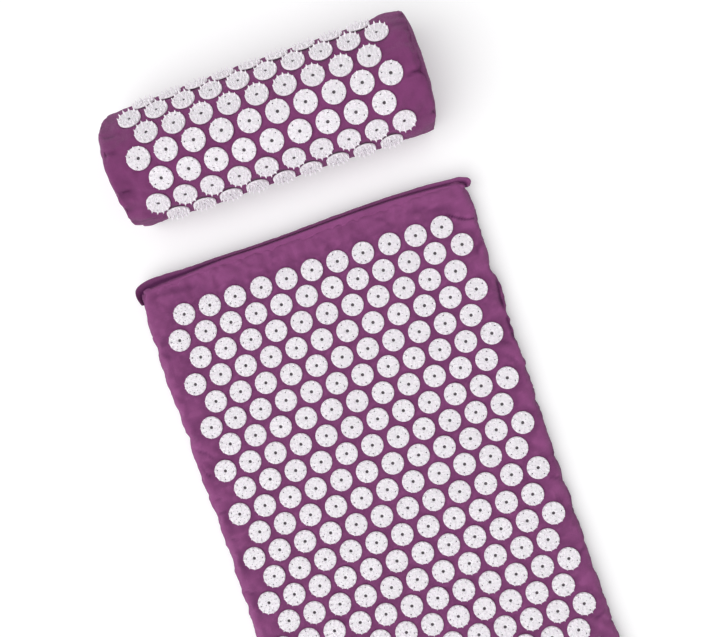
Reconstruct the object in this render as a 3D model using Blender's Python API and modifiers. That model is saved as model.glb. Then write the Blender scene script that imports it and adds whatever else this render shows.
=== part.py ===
"""Spiked acupressure mat with its half-round neck pillow, in metres, +Z up.

The origin is the middle of the mat's underside. +X runs along the rows of discs and
+Y points to the head end, where the pillow lies. The mat is a thin foam pad in a
zipped cotton cover, the pillow a half-round foam core in another. Both covers carry
rows of plastic discs, each disc a plate with a field of short spikes.
"""
import math

import bmesh
import bpy
from mathutils import Vector

# Disc pattern: one pitch along every row, and the rows a little closer on the pillow
DISC_PITCH = 0.0320
ROW_STEP = 0.02755
PILLOW_ROW_STEP = 0.0263
DISC_DIAMETER = 0.0264
DISC_PLATE = 0.0018
SPIKE_HEIGHT = 0.0040
SPIKE_FIELD_STEP = 0.0010
LINK_WIDTH = 0.0020
LINK_THICKNESS = 0.0004
DISC_ARC_STEPS = 4

# Cloth and the room kept between neighbours
CLOTH = 0.0008
CLEARANCE = 0.0003
FOAM_CLEARANCE = 0.0005
CUT_OVERRUN = 0.0020

# Mat
MAT_ROWS = 20
MAT_HEAD_ROW_DISCS = 11
MAT_THICKNESS = 0.0200
MAT_SIDE_MARGIN = 0.0180
MAT_HEAD_MARGIN = 0.0460
MAT_FOOT_MARGIN = 0.0520
MAT_PATTERN_SHIFT = 0.0028
MAT_DRAW_IN = 0.0020
MAT_SEAM_BAND = 0.0015
MAT_FOAM_ROUNDING = 0.0082
BEND_STEPS = 4

# Flap over the mat's zip
FLAP_THICKNESS = 0.0016
FLAP_EAR = 0.0060
FLAP_REACH = 0.0060
FLAP_SEAM_INSET = 0.0090
FLAP_DROP = 0.0042
FLAP_STEPS = 5

# Pillow
PILLOW_ROWS = 7
PILLOW_END_ROW_DISCS = 9
PILLOW_LENGTH = 0.3620
PILLOW_RADIUS = 0.0690
PILLOW_AXIS_HEIGHT = 0.0380
PILLOW_CORNER = 0.0080
PILLOW_FRONT_SEAM_HEIGHT = 0.0120
PILLOW_FRONT_TUCK = 0.0100
PILLOW_END_ROUNDING = 0.0080
PILLOW_END_DRAW_IN = 0.0030
PILLOW_END_DOME = 0.0020
PILLOW_PATTERN_SHIFT = 0.0082
PILLOW_GAP = 0.0530
PILLOW_SIDE_SHIFT = 0.0135
PILLOW_TURN = math.radians(-0.86)
ARCH_STEPS = 16
CORNER_STEPS = 3
END_STEPS = 3
END_RING_SHARES = (0.0, 0.25, 0.75)
LEAST_CORNER_SHARE = 0.1

# Zips: two tapes, each with its half of the coil, and a slider that grips both
TAPE_THICKNESS = 0.0006
TAPE_WIDTH = 0.0045
COIL_WIDTH = 0.0026
COIL_THICKNESS = 0.0016
ZIP_SLIT = 0.0010
ZIP_STOP_LENGTH = 0.0030
ZIP_TAPE_TAIL = 0.0020
MAT_ZIP_MARGIN = 0.0220
MAT_ZIP_RECESS = 0.0017
PILLOW_ZIP_MARGIN = 0.0200
PILLOW_ZIP_HEIGHT = 0.0205
SLIDER_LENGTH = 0.0100
SLIDER_PLATE = 0.0012
SLIDER_FLANGE = 0.0008
SLIDER_NECK = 0.0004
BAIL_WIDTH = 0.0014
BAIL_BAR = 0.0009
BAIL_SPAN = 0.0076
PULL_LENGTH = 0.0190
PULL_WIDTH = 0.0056
PULL_THICKNESS = 0.0010
PULL_EYE_LENGTH = 0.0040
PULL_EYE_SIDE = 0.0014
PULL_END_STEPS = 6

# Worked out from the sizes above
MAT_WIDTH = MAT_HEAD_ROW_DISCS * DISC_PITCH + DISC_DIAMETER + 2 * MAT_SIDE_MARGIN
MAT_FIELD = (MAT_ROWS - 1) * ROW_STEP
MAT_MIDDLE_TO_HEAD = (MAT_FIELD + MAT_HEAD_MARGIN + MAT_FOOT_MARGIN) / 2
MAT_HEAD_ROW_Y = MAT_MIDDLE_TO_HEAD - MAT_HEAD_MARGIN
DISC_HEIGHT = DISC_PLATE + SPIKE_HEIGHT
ZIP_WINDOW = ZIP_SLIT + 2 * TAPE_WIDTH + 2 * CLEARANCE
SLIDER_INNER_DEPTH = TAPE_THICKNESS + CLEARANCE + SLIDER_PLATE
SLIDER_TOP = COIL_THICKNESS + 2 * CLEARANCE + SLIDER_PLATE
PIN_REACH = math.hypot(PULL_THICKNESS, PULL_THICKNESS) / 2
PIN_Y = SLIDER_TOP + CLEARANCE + PIN_REACH
BAIL_TOP = PIN_Y + PIN_REACH + CLEARANCE + BAIL_BAR
PILLOW_HALF = PILLOW_LENGTH / 2 - PILLOW_END_DOME - CLEARANCE - CLOTH
PILLOW_Y = MAT_MIDDLE_TO_HEAD + FLAP_REACH + PILLOW_GAP + PILLOW_RADIUS


def clear_scene():
    for obj in list(bpy.data.objects):
        bpy.data.objects.remove(obj, do_unlink=True)
    for group in list(bpy.data.collections):
        bpy.data.collections.remove(group)


def new_collection(name):
    group = bpy.data.collections.new(name)
    bpy.context.scene.collection.children.link(group)
    return group


def new_material(name, colour, roughness, metallic=0.0):
    material = bpy.data.materials.new(name)
    material.use_nodes = True
    shader = material.node_tree.nodes["Principled BSDF"]
    shader.inputs["Base Color"].default_value = (*colour, 1.0)
    shader.inputs["Roughness"].default_value = roughness
    shader.inputs["Metallic"].default_value = metallic
    return material


clear_scene()
PARTS = new_collection("acupressure_mat_set")
CUTTERS = new_collection("cutters")
COTTON = new_material("purple_cotton", (0.227, 0.055, 0.181), 0.9)
SEAM_COTTON = new_material("purple_cotton_underside", (0.180, 0.043, 0.145), 0.95)
FOAM = new_material("cream_foam", (0.80, 0.76, 0.62), 1.0)
PLASTIC = new_material("white_disc_plastic", (0.86, 0.86, 0.88), 0.35)
TAPE = new_material("purple_zip_tape", (0.150, 0.035, 0.120), 0.9)
COIL = new_material("purple_nylon_coil", (0.170, 0.040, 0.135), 0.45)
METAL = new_material("plated_zinc", (0.62, 0.62, 0.64), 0.3, 1.0)


def add_empty(name, location, parent=None):
    """A frame for the pieces that hang on it, also a moving piece's joint axis."""
    empty = bpy.data.objects.new(name, None)
    PARTS.objects.link(empty)
    empty.parent = parent
    empty.location = location
    return empty


def add_object(name, mesh, material, parent=None, location=(0, 0, 0)):
    mesh.materials.clear()
    mesh.materials.append(material)
    obj = bpy.data.objects.new(name, mesh)
    PARTS.objects.link(obj)
    obj.parent = parent
    obj.location = location
    return obj


def mesh_from(name, shape):
    mesh = bpy.data.meshes.new(name)
    shape.to_mesh(mesh)
    shape.free()
    return mesh


def smooth(obj, angle=math.radians(35)):
    obj.data.shade_smooth()
    obj.data.set_sharp_from_angle(angle=angle)


def box_mesh(name, low, high):
    """A box between two opposite corners."""
    shape = bmesh.new()
    bmesh.ops.create_cube(shape, size=1.0)
    low, high = Vector(low), Vector(high)
    for vertex in shape.verts:
        vertex.co = low + (high - low) * (vertex.co + Vector((0.5, 0.5, 0.5)))
    return mesh_from(name, shape)


def add_box(name, low, high, material, parent=None):
    return add_object(name, box_mesh(name, low, high), material, parent)


def add_cutter(name, low, high, parent=None):
    cutter = bpy.data.objects.new(name, box_mesh(name, low, high))
    CUTTERS.objects.link(cutter)
    cutter.parent = parent
    cutter.hide_render = True
    cutter.display_type = "WIRE"
    return cutter


def solidify(obj, thickness):
    """Thickens an outer surface inwards."""
    wall = obj.modifiers.new("wall", "SOLIDIFY")
    wall.thickness = thickness
    wall.offset = -1
    wall.use_even_offset = True


def boolean(obj, other, operation):
    cut = obj.modifiers.new(other.name, "BOOLEAN")
    cut.object = other
    cut.operation = operation
    cut.solver = "EXACT"


def add_sheet(name, columns, rows, place, thickness, material, parent=None):
    """A cloth panel: a grid laid out by place(column, row), then given its thickness."""
    shape = bmesh.new()
    bmesh.ops.create_grid(shape, x_segments=columns, y_segments=rows, size=1.0)
    for vertex in shape.verts:
        column = round((vertex.co.x + 1) / 2 * columns)
        row = round((vertex.co.y + 1) / 2 * rows)
        vertex.co = Vector(place(column, row))
    sheet = add_object(name, mesh_from(name, shape), material, parent)
    smooth(sheet)
    solidify(sheet, thickness)
    return sheet


def add_loft(name, rings, material, parent=None):
    """A closed solid through rings of equally many points, with flat ends."""
    shape = bmesh.new()
    loops = [[shape.verts.new(point) for point in ring] for ring in rings]
    count = len(loops[0])
    for first, second in zip(loops, loops[1:]):
        for k in range(count):
            near, far = k, (k + 1) % count
            shape.faces.new((first[near], first[far], second[far], second[near]))
    shape.faces.new(list(reversed(loops[0])))
    shape.faces.new(loops[-1])
    bmesh.ops.recalc_face_normals(shape, faces=shape.faces)
    loft = add_object(name, mesh_from(name, shape), material, parent)
    smooth(loft)
    return loft


def outline_mesh(name, outlines, thickness):
    """A flat outline, with any holes, filled and extruded about its own plane."""
    curve = bpy.data.curves.new(name, "CURVE")
    curve.dimensions = "2D"
    curve.fill_mode = "BOTH"
    curve.extrude = thickness / 2
    for points in outlines:
        spline = curve.splines.new("POLY")
        spline.points.add(len(points) - 1)
        for place, (x, y) in zip(spline.points, points):
            place.co = (x, y, 0, 1)
        spline.use_cyclic_u = True
    guide = bpy.data.objects.new(name, curve)
    CUTTERS.objects.link(guide)
    bpy.context.view_layer.update()
    evaluated = guide.evaluated_get(bpy.context.evaluated_depsgraph_get())
    mesh = bpy.data.meshes.new_from_object(evaluated)
    bpy.data.objects.remove(guide, do_unlink=True)
    bpy.data.curves.remove(curve)
    shape = bmesh.new()
    shape.from_mesh(mesh)
    bmesh.ops.remove_doubles(shape, verts=shape.verts, dist=CLEARANCE / 10)
    bmesh.ops.recalc_face_normals(shape, faces=shape.faces)
    shape.to_mesh(mesh)
    shape.free()
    return mesh


def turn_mesh(mesh, axes):
    """Renames a mesh's axes: new x, y, z are the old ones named by axes and signs."""
    for vertex in mesh.vertices:
        old = vertex.co.copy()
        vertex.co = [sign * old[axis] for axis, sign in axes]


# Discs
def disc_angles():
    """Corners of a disc's outline: a narrow facet towards each neighbour, arcs between."""
    facet = math.asin(LINK_WIDTH / DISC_DIAMETER)
    step = (math.pi - 2 * facet) / DISC_ARC_STEPS
    half = [facet + step * k for k in range(DISC_ARC_STEPS + 1)]
    return half + [math.pi + angle for angle in half]


def disc_row_mesh(name, count):
    """Discs in line on a thin link. Each is a plate under a block as high as its spikes."""
    shape = bmesh.new()
    angles = disc_angles()
    corners = len(angles)
    radius = DISC_DIAMETER / 2
    link_share = LINK_THICKNESS / DISC_HEIGHT
    facets = {"plus": (corners - 1, 0), "minus": (corners // 2 - 1, corners // 2)}
    previous = None
    for disc in range(count):
        centre = Vector(((disc - (count - 1) / 2) * DISC_PITCH, 0, 0))
        spokes = [Vector((math.cos(angle), math.sin(angle), 0)) for angle in angles]
        lift = Vector((0, 0, DISC_HEIGHT))
        bottom = [shape.verts.new(centre + radius * spoke) for spoke in spokes]
        top = [shape.verts.new(centre + (radius - SPIKE_FIELD_STEP) * spoke + lift) for spoke in spokes]
        joint = {}
        linked = {"plus": disc < count - 1, "minus": disc > 0}
        for side, pair in facets.items():
            if linked[side]:
                for k in pair:
                    joint[k] = shape.verts.new(bottom[k].co.lerp(top[k].co, link_share))
        shape.faces.new(list(reversed(bottom)))
        shape.faces.new(top)
        for k in range(corners):
            far = (k + 1) % corners
            is_link = any(linked[side] and (k, far) == pair for side, pair in facets.items())
            if is_link:
                shape.faces.new((joint[k], joint[far], top[far], top[k]))
                continue
            wall = [bottom[k], bottom[far]]
            wall += [joint[far]] if far in joint else []
            wall += [top[far], top[k]]
            wall += [joint[k]] if k in joint else []
            shape.faces.new(wall)
        if previous:
            start_bottom, start_joint = previous
            a, b = facets["plus"]
            c, d = facets["minus"]
            shape.faces.new((start_bottom[a], bottom[d], bottom[c], start_bottom[b]))
            shape.faces.new((start_joint[b], joint[c], joint[d], start_joint[a]))
            shape.faces.new((start_bottom[b], bottom[c], joint[c], start_joint[b]))
            shape.faces.new((start_joint[a], joint[d], bottom[d], start_bottom[a]))
        previous = (bottom, joint)
    bmesh.ops.recalc_face_normals(shape, faces=shape.faces)
    return mesh_from(name, shape)


def add_mat_discs():
    """Rows alternate between the head row's count and one disc more."""
    for row in range(MAT_ROWS):
        name = f"mat_discs_row_{row + 1:02d}"
        mesh = disc_row_mesh(name, MAT_HEAD_ROW_DISCS + row % 2)
        place = (MAT_PATTERN_SHIFT, MAT_HEAD_ROW_Y - row * ROW_STEP, MAT_THICKNESS + CLEARANCE)
        add_object(name, mesh, PLASTIC, None, place)


def add_pillow_discs(frame):
    """Row 1 is on the far side from the mat, and each row sits square on the arch."""
    for row in range(PILLOW_ROWS):
        name = f"pillow_discs_row_{row + 1}"
        along = ((PILLOW_ROWS - 1) / 2 - row) * PILLOW_ROW_STEP - PILLOW_PATTERN_SHIFT
        angle = along / PILLOW_RADIUS
        seat = PILLOW_RADIUS + CLEARANCE
        place = (0, seat * math.sin(angle), PILLOW_AXIS_HEIGHT + seat * math.cos(angle))
        mesh = disc_row_mesh(name, PILLOW_END_ROW_DISCS + row % 2)
        discs = add_object(name, mesh, PLASTIC, frame, place)
        discs.rotation_euler = (-angle, 0, 0)


# Mat
def bend_lines(inner, flat_steps):
    """Grid lines across a panel: (place on the flat, share of the bend, side).

    A share over 1 is the edge of the upright band below the bend.
    """
    shares = [(k + 1) / BEND_STEPS for k in range(BEND_STEPS + 1)]
    lines = [(-inner, share, -1) for share in reversed(shares)]
    lines += [(inner * (2 * k / flat_steps - 1), 0, 0) for k in range(flat_steps + 1)]
    lines += [(inner, share, 1) for share in shares]
    return lines


def add_mat_panel(name, upper, material):
    """Half of the cover: flat in the middle, bent round to the seam at half height."""
    bend = MAT_THICKNESS / 2
    rise = bend - MAT_SEAM_BAND - CLEARANCE / 2
    half_length = MAT_MIDDLE_TO_HEAD
    across = bend_lines(MAT_WIDTH / 2 - bend, 2)
    along = bend_lines(half_length - bend, 6)

    def place(column, row):
        x, x_bend, x_side = across[column]
        y, y_bend, y_side = along[row]
        furthest = max(x_bend, y_bend)
        turn = min(furthest, 1) * math.pi / 2
        band = 0 if furthest > 1 else MAT_SEAM_BAND
        spread = math.hypot(x_bend, y_bend) or 1
        x += x_side * bend * math.sin(turn) * x_bend / spread
        y += y_side * bend * math.sin(turn) * y_bend / spread
        x *= 1 - MAT_DRAW_IN / (MAT_WIDTH / 2) * (1 - (y / half_length) ** 2)
        height = CLEARANCE / 2 + band + rise * math.cos(turn)
        z = MAT_THICKNESS / 2 + (height if upper else -height)
        return (x if upper else -x, y, z)

    return add_sheet(name, len(across) - 1, len(along) - 1, place, CLOTH, material)


def add_mat_cover(zip_y, zip_half):
    top = add_mat_panel("mat_cover_top", True, COTTON)
    base = add_mat_panel("mat_cover_base", False, SEAM_COTTON)
    reach = zip_half + CLEARANCE
    middle = MAT_THICKNESS / 2
    low = (-reach, zip_y - MAT_THICKNESS / 2, middle - ZIP_WINDOW / 2)
    high = (reach, zip_y + MAT_ZIP_RECESS + CUT_OVERRUN, middle + ZIP_WINDOW / 2)
    window = add_cutter("mat_zip_window", low, high)
    boolean(top, window, "DIFFERENCE")
    boolean(base, window, "DIFFERENCE")


def add_mat_foam(zip_y):
    """The foam pad, short of the head wall by the room that the slider's inner plate needs."""
    shell = CLOTH + FOAM_CLEARANCE
    half_width = MAT_WIDTH / 2 - MAT_DRAW_IN - shell
    head = zip_y - SLIDER_INNER_DEPTH - FOAM_CLEARANCE
    low = (-half_width, -MAT_MIDDLE_TO_HEAD + shell, shell)
    high = (half_width, head, MAT_THICKNESS - shell)
    mesh = box_mesh("mat_foam_pad", low, high)
    shape = bmesh.new()
    shape.from_mesh(mesh)
    bmesh.ops.bevel(shape, geom=shape.edges, offset=MAT_FOAM_ROUNDING, segments=BEND_STEPS,
                    profile=0.5, affect="EDGES")
    shape.to_mesh(mesh)
    shape.free()
    smooth(add_object("mat_foam_pad", mesh, FOAM))


def add_mat_flap():
    """The folded head hem that hangs over the zip and stands out past both sides."""
    half = MAT_WIDTH / 2 + FLAP_EAR
    start = -FLAP_SEAM_INSET
    span = FLAP_REACH - FLAP_THICKNESS / 2 - start
    top = MAT_THICKNESS + CLEARANCE + FLAP_THICKNESS
    columns = 10

    def place(column, row):
        share = row / FLAP_STEPS
        turn = share * math.pi / 2
        y = MAT_MIDDLE_TO_HEAD + start + span * math.sin(turn)
        z = top - FLAP_DROP * (1 - math.cos(turn))
        return (half * (2 * column / columns - 1), y, z)

    add_sheet("mat_zip_flap", columns, FLAP_STEPS, place, FLAP_THICKNESS, COTTON)


# Zips
def slider_mesh():
    """Outer plate with two side flanges, a neck through the slit, and an inner plate."""
    flange_out = ZIP_SLIT / 2 + COIL_WIDTH + CLEARANCE + SLIDER_FLANGE
    flange_in = flange_out - SLIDER_FLANGE
    neck = SLIDER_NECK / 2
    plate_in = COIL_THICKNESS + 2 * CLEARANCE
    back_out = -TAPE_THICKNESS - CLEARANCE
    back_in = back_out - SLIDER_PLATE
    half = [(neck, plate_in), (flange_in, plate_in), (flange_in, CLEARANCE), (flange_out, CLEARANCE),
            (flange_out, SLIDER_TOP)]
    back = [(flange_in, back_in), (flange_in, back_out), (neck, back_out)]
    right = back + half
    left = [(-x, y) for x, y in reversed(right)]
    mesh = outline_mesh("slider", [right + left], SLIDER_LENGTH)
    turn_mesh(mesh, ((2, 1), (1, 1), (0, 1)))
    return mesh


def bail_mesh():
    """The staple on the slider that holds the pull's cross pin."""
    outer = BAIL_SPAN / 2
    inner = outer - BAIL_BAR
    chamfer = BAIL_BAR / 2
    foot = SLIDER_TOP - SLIDER_PLATE / 2
    right = [(inner, BAIL_TOP - BAIL_BAR), (inner, foot), (outer, foot), (outer, BAIL_TOP - chamfer),
             (outer - chamfer, BAIL_TOP)]
    points = right + [(-x, y) for x, y in reversed(right)]
    return outline_mesh("bail", [points], BAIL_WIDTH)


def face_outwards(mesh):
    shape = bmesh.new()
    shape.from_mesh(mesh)
    bmesh.ops.recalc_face_normals(shape, faces=shape.faces)
    shape.to_mesh(mesh)
    shape.free()


def add_slider(name, frame):
    mesh = slider_mesh()
    face_outwards(mesh)
    slider = add_object(name, mesh, METAL, frame)
    bail = bpy.data.objects.new(name + "_bail", bail_mesh())
    CUTTERS.objects.link(bail)
    bail.parent = frame
    bail.hide_render = True
    bail.display_type = "WIRE"
    boolean(slider, bail, "UNION")
    return slider


def add_pull(name, frame):
    """The pull lies back along the coil. Its origin is on its cross pin."""
    pin = PULL_THICKNESS / 2
    half = PULL_WIDTH / 2
    end = PULL_LENGTH - half
    arc = [math.pi / 2 - math.pi * k / PULL_END_STEPS for k in range(PULL_END_STEPS + 1)]
    outer = [(-pin, -half), (-pin, half)]
    outer += [(end + half * math.cos(a), half * math.sin(a)) for a in arc]
    eye = half - PULL_EYE_SIDE
    hole = [(pin, -eye), (pin, eye), (pin + PULL_EYE_LENGTH, eye), (pin + PULL_EYE_LENGTH, -eye)]
    mesh = outline_mesh(name, [outer, hole], PULL_THICKNESS)
    turn_mesh(mesh, ((0, -1), (2, 1), (1, 1)))
    face_outwards(mesh)
    return add_object(name, mesh, METAL, frame)


def add_zip(prefix, place, half_tape, parent=None):
    """A closed zip in an upright wall: x along it, y out of the wall, z across it."""
    frame = add_empty(prefix + "_zip_frame", place, parent)
    half_coil = half_tape - ZIP_TAPE_TAIL - ZIP_STOP_LENGTH - CLEARANCE
    slit = ZIP_SLIT / 2
    for side, sign in (("upper", 1), ("lower", -1)):
        low, high = sorted((sign * slit, sign * (slit + TAPE_WIDTH)))
        add_box(f"{prefix}_zip_tape_{side}", (-half_tape, -TAPE_THICKNESS, low), (half_tape, 0, high), TAPE, frame)
        low, high = sorted((sign * slit, sign * (slit + COIL_WIDTH)))
        add_box(f"{prefix}_zip_coil_{side}", (-half_coil, CLEARANCE, low),
                (half_coil, CLEARANCE + COIL_THICKNESS, high), COIL, frame)
    for side, sign in (("left", -1), ("right", 1)):
        near = half_coil + CLEARANCE
        low, high = sorted((sign * near, sign * (near + ZIP_STOP_LENGTH)))
        reach = slit + COIL_WIDTH
        add_box(f"{prefix}_zip_stop_{side}", (low, CLEARANCE, -reach),
                (high, CLEARANCE + COIL_THICKNESS, reach), METAL, frame)
    closed = half_coil - SLIDER_LENGTH / 2 - CLEARANCE
    slider_frame = add_empty(prefix + "_slider_frame", (closed, 0, 0), frame)
    add_slider(prefix + "_zip_slider", slider_frame)
    pull_frame = add_empty(prefix + "_pull_frame", (0, PIN_Y, 0), slider_frame)
    add_pull(prefix + "_zip_pull", pull_frame)


# Pillow
def pillow_stations(steps):
    """Places along the pillow with how far the section is drawn in there."""
    turns = [math.pi / 2 * k / END_STEPS for k in range(END_STEPS, 0, -1)]
    straight = PILLOW_HALF - PILLOW_END_ROUNDING
    ends = [(straight + PILLOW_END_ROUNDING * math.sin(t), PILLOW_END_DRAW_IN * (1 - math.cos(t))) for t in turns]
    middle = [(straight * (2 * k / steps - 1), 0) for k in range(steps + 1)]
    return [(-x, inset) for x, inset in ends] + middle + [(x, inset) for x, inset in reversed(ends)]


def front_tuck(z):
    """How far the front wall has come in towards the foot at that height."""
    return PILLOW_FRONT_TUCK * (PILLOW_AXIS_HEIGHT - z) / (PILLOW_AXIS_HEIGHT - PILLOW_CORNER)


def arch_section(inset):
    """(y, z) from the front seam over the top to the seam at the zip's height."""
    reach = PILLOW_RADIUS - inset
    seam = PILLOW_FRONT_SEAM_HEIGHT + CLEARANCE / 2
    points = [(front_tuck(seam) - reach, seam)]
    for k in range(ARCH_STEPS + 1):
        angle = math.pi * (1 - k / ARCH_STEPS)
        points.append((reach * math.cos(angle), PILLOW_AXIS_HEIGHT + reach * math.sin(angle)))
    points.append((reach, PILLOW_ZIP_HEIGHT + CLEARANCE / 2))
    return points


def base_section(inset):
    """(y, z) from the zip's height down, under the pillow and up to the front seam."""
    reach = PILLOW_RADIUS - inset
    middle = PILLOW_RADIUS - PILLOW_CORNER
    corner = PILLOW_CORNER - inset
    points = [(reach, PILLOW_ZIP_HEIGHT - CLEARANCE / 2)]
    for side, tuck in ((1, 0), (-1, PILLOW_FRONT_TUCK)):
        turns = [math.pi / 2 * k / CORNER_STEPS for k in range(CORNER_STEPS + 1)]
        for turn in turns if side > 0 else reversed(turns):
            y = side * (middle + corner * math.cos(turn)) + tuck
            points.append((y, PILLOW_CORNER - corner * math.sin(turn)))
    seam = PILLOW_FRONT_SEAM_HEIGHT - CLEARANCE / 2
    points.append((front_tuck(seam) - reach, seam))
    return points


def add_pillow_panel(name, section, stations, material, frame):
    def place(column, row):
        x, inset = stations[row]
        y, z = section(inset)[column]
        return (x, y, z)

    columns = len(section(0)) - 1
    return add_sheet(name, columns, len(stations) - 1, place, CLOTH, material, frame)


def add_pillow_end(side, sign, frame):
    """A D-shaped end panel, domed outwards from its seam."""
    rim = PILLOW_END_DRAW_IN
    spread = PILLOW_AXIS_HEIGHT - rim - PILLOW_CORNER
    start = PILLOW_HALF + CLEARANCE + CLOTH
    shape = bmesh.new()
    rings = []
    for share in END_RING_SHARES:
        inset = rim + spread * share
        x = sign * (start + PILLOW_END_DOME * math.sin(share / END_RING_SHARES[-1] * math.pi / 2))
        rings.append([shape.verts.new((x, y, z)) for y, z in end_ring(inset)])
    count = len(rings[0])
    for outer, inner in zip(rings, rings[1:]):
        for k in range(count):
            far = (k + 1) % count
            shape.faces.new((outer[k], outer[far], inner[far], inner[k]))
    shape.faces.new(rings[-1])
    bmesh.ops.recalc_face_normals(shape, faces=shape.faces)
    if shape.faces[-1].normal.x * sign < 0:
        bmesh.ops.reverse_faces(shape, faces=shape.faces)
    name = f"pillow_cover_end_{side}"
    panel = add_object(name, mesh_from(name, shape), COTTON, frame)
    smooth(panel)
    solidify(panel, CLOTH)


def end_ring(inset):
    """The pillow's outline, drawn in evenly, its lower corners square once they close."""
    reach = PILLOW_RADIUS - inset
    corner = max(PILLOW_CORNER - inset, PILLOW_CORNER * LEAST_CORNER_SHARE)
    points = []
    for k in range(ARCH_STEPS + 1):
        angle = math.pi * (1 - k / ARCH_STEPS)
        points.append((reach * math.cos(angle), PILLOW_AXIS_HEIGHT + reach * math.sin(angle)))
    for side, tuck in ((1, 0), (-1, PILLOW_FRONT_TUCK)):
        turns = [math.pi / 2 * k / CORNER_STEPS for k in range(CORNER_STEPS + 1)]
        for turn in turns if side > 0 else reversed(turns):
            y = side * (reach - corner + corner * math.cos(turn)) + tuck
            points.append((y, inset + corner - corner * math.sin(turn)))
    return points


def add_pillow_core(frame):
    """The half-round foam, flat at the back where the slider's inner plate passes."""
    shell = CLOTH + FOAM_CLEARANCE
    back = PILLOW_RADIUS - SLIDER_INNER_DEPTH - FOAM_CLEARANCE
    length_share = (PILLOW_HALF - shell) / PILLOW_HALF
    rings = []
    for x, inset in pillow_stations(1):
        ring = end_ring(inset + shell)
        rings.append([(x * length_share, min(y, back), z) for y, z in ring])
    add_loft("pillow_foam_core", rings, FOAM, frame)


def add_pillow():
    frame = add_empty("pillow_frame", (PILLOW_SIDE_SHIFT, PILLOW_Y, 0))
    frame.rotation_euler = (0, 0, PILLOW_TURN)
    stations = pillow_stations(4)
    arch = add_pillow_panel("pillow_cover_arch", arch_section, list(reversed(stations)), COTTON, frame)
    base = add_pillow_panel("pillow_cover_base", base_section, list(reversed(stations)), SEAM_COTTON, frame)
    half_tape = PILLOW_LENGTH / 2 - PILLOW_ZIP_MARGIN
    reach = half_tape + CLEARANCE
    low = (-reach, PILLOW_RADIUS - CUT_OVERRUN, PILLOW_ZIP_HEIGHT - ZIP_WINDOW / 2)
    high = (reach, PILLOW_RADIUS + CUT_OVERRUN, PILLOW_ZIP_HEIGHT + ZIP_WINDOW / 2)
    window = add_cutter("pillow_zip_window", low, high, frame)
    boolean(arch, window, "DIFFERENCE")
    boolean(base, window, "DIFFERENCE")
    add_pillow_end("left", -1, frame)
    add_pillow_end("right", 1, frame)
    add_pillow_core(frame)
    add_zip("pillow", (0, PILLOW_RADIUS, PILLOW_ZIP_HEIGHT), half_tape, frame)
    add_pillow_discs(frame)


def add_mat():
    zip_y = MAT_MIDDLE_TO_HEAD - MAT_ZIP_RECESS
    half_tape = MAT_WIDTH / 2 - MAT_ZIP_MARGIN
    add_mat_foam(zip_y)
    add_mat_cover(zip_y, half_tape)
    add_mat_flap()
    add_zip("mat", (0, zip_y, MAT_THICKNESS / 2), half_tape)
    add_mat_discs()


add_mat()
add_pillow()
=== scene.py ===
"""Looks of an acupressure mat and its neck pillow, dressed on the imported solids.

All lengths are metres in the frame of the solids: x across the mat, +y to its head end, z up.
"""
import math

import bmesh
import bpy
import numpy as np
from mathutils import Matrix, Vector


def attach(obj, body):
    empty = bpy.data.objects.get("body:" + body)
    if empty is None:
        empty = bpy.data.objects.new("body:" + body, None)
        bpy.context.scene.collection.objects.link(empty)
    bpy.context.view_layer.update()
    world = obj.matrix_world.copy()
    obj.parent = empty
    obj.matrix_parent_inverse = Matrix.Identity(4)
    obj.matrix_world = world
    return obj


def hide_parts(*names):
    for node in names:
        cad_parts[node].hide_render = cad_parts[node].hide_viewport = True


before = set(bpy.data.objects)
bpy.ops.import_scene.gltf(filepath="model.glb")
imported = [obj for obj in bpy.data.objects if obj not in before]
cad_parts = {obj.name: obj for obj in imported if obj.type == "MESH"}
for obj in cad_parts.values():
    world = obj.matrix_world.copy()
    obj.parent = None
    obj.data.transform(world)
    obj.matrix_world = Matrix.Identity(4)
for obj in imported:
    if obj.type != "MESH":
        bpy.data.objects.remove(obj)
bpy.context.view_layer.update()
MM = 0.001
# A distance over any in the scene
FAR = 9.0

# Camera: place and axes, and the picture's size and focal length in its pixels
CAMERA_PLACE = (0.0841, 0.1795, 0.9432)
CAMERA_RIGHT = (0.94563, -0.32084, -0.05328)
CAMERA_UP = (0.32111, 0.94704, -0.00371)
PICTURE = (718, 637)
FOCAL_PIXELS = 781.3
SENSOR = 36
CLIP = (0.01, 50)

# Stage: the sky's light, the key light's strength, spread and direction in the camera's axes, and the floor
AMBIENT = 0.57
KEY_STRENGTH = 1.95
KEY_SPREAD = math.radians(70)
KEY_FROM = (-0.52, -0.50, 0.85)
FLOOR_COLOUR = (0.84, 0.84, 0.845)
FLOOR_GLOW = 0.20
FLOOR_SIZE = 6
FLOOR_DROP = 0.0003

# Discs
DISC_PITCH = 0.0320
ROW_STEP = 0.02755
DISC_RADIUS = 0.0132
DISC_PLATE = 0.0018
DISC_EDGE = 0.00032
HUB_HOLE = 0.00190
SMALL_HOLE = 0.00082
SMALL_HOLE_RING = 0.0100
DISC_SIDES, HUB_SIDES, SMALL_SIDES = 48, 16, 9
# Spikes: number, ring radius and foot radius of each ring, and the profile as (share of the foot radius, height)
SPIKE_RINGS = ((12, 0.01160, 0.00158), (9, 0.0078, 0.00072), (6, 0.0043, 0.00070))
SPIKE_PROFILE = ((1.0, -0.0003), (0.95, 0.0002), (0.70, 0.0013), (0.40, 0.0027), (0.09, 0.0041))
RIM_SPIKE_LEAN = 0.25
SPIKE_SIDES = 9
# How much of a spike's step each ring is turned from the one outside it
SPIKE_RING_TURN = 0.37
DISC_SEAT = 0.0003
DISC_TILT = math.radians(1.6)
DISC_LIFT = 0.0001
SHARP_FROM = math.radians(38)
# Radii from a disc's middle over which the dark grey painted under it fades out; it shows through the holes and stands
# partly for their shade.
HOLE_DARK_REACH = (0.0106, 0.0120)

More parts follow.
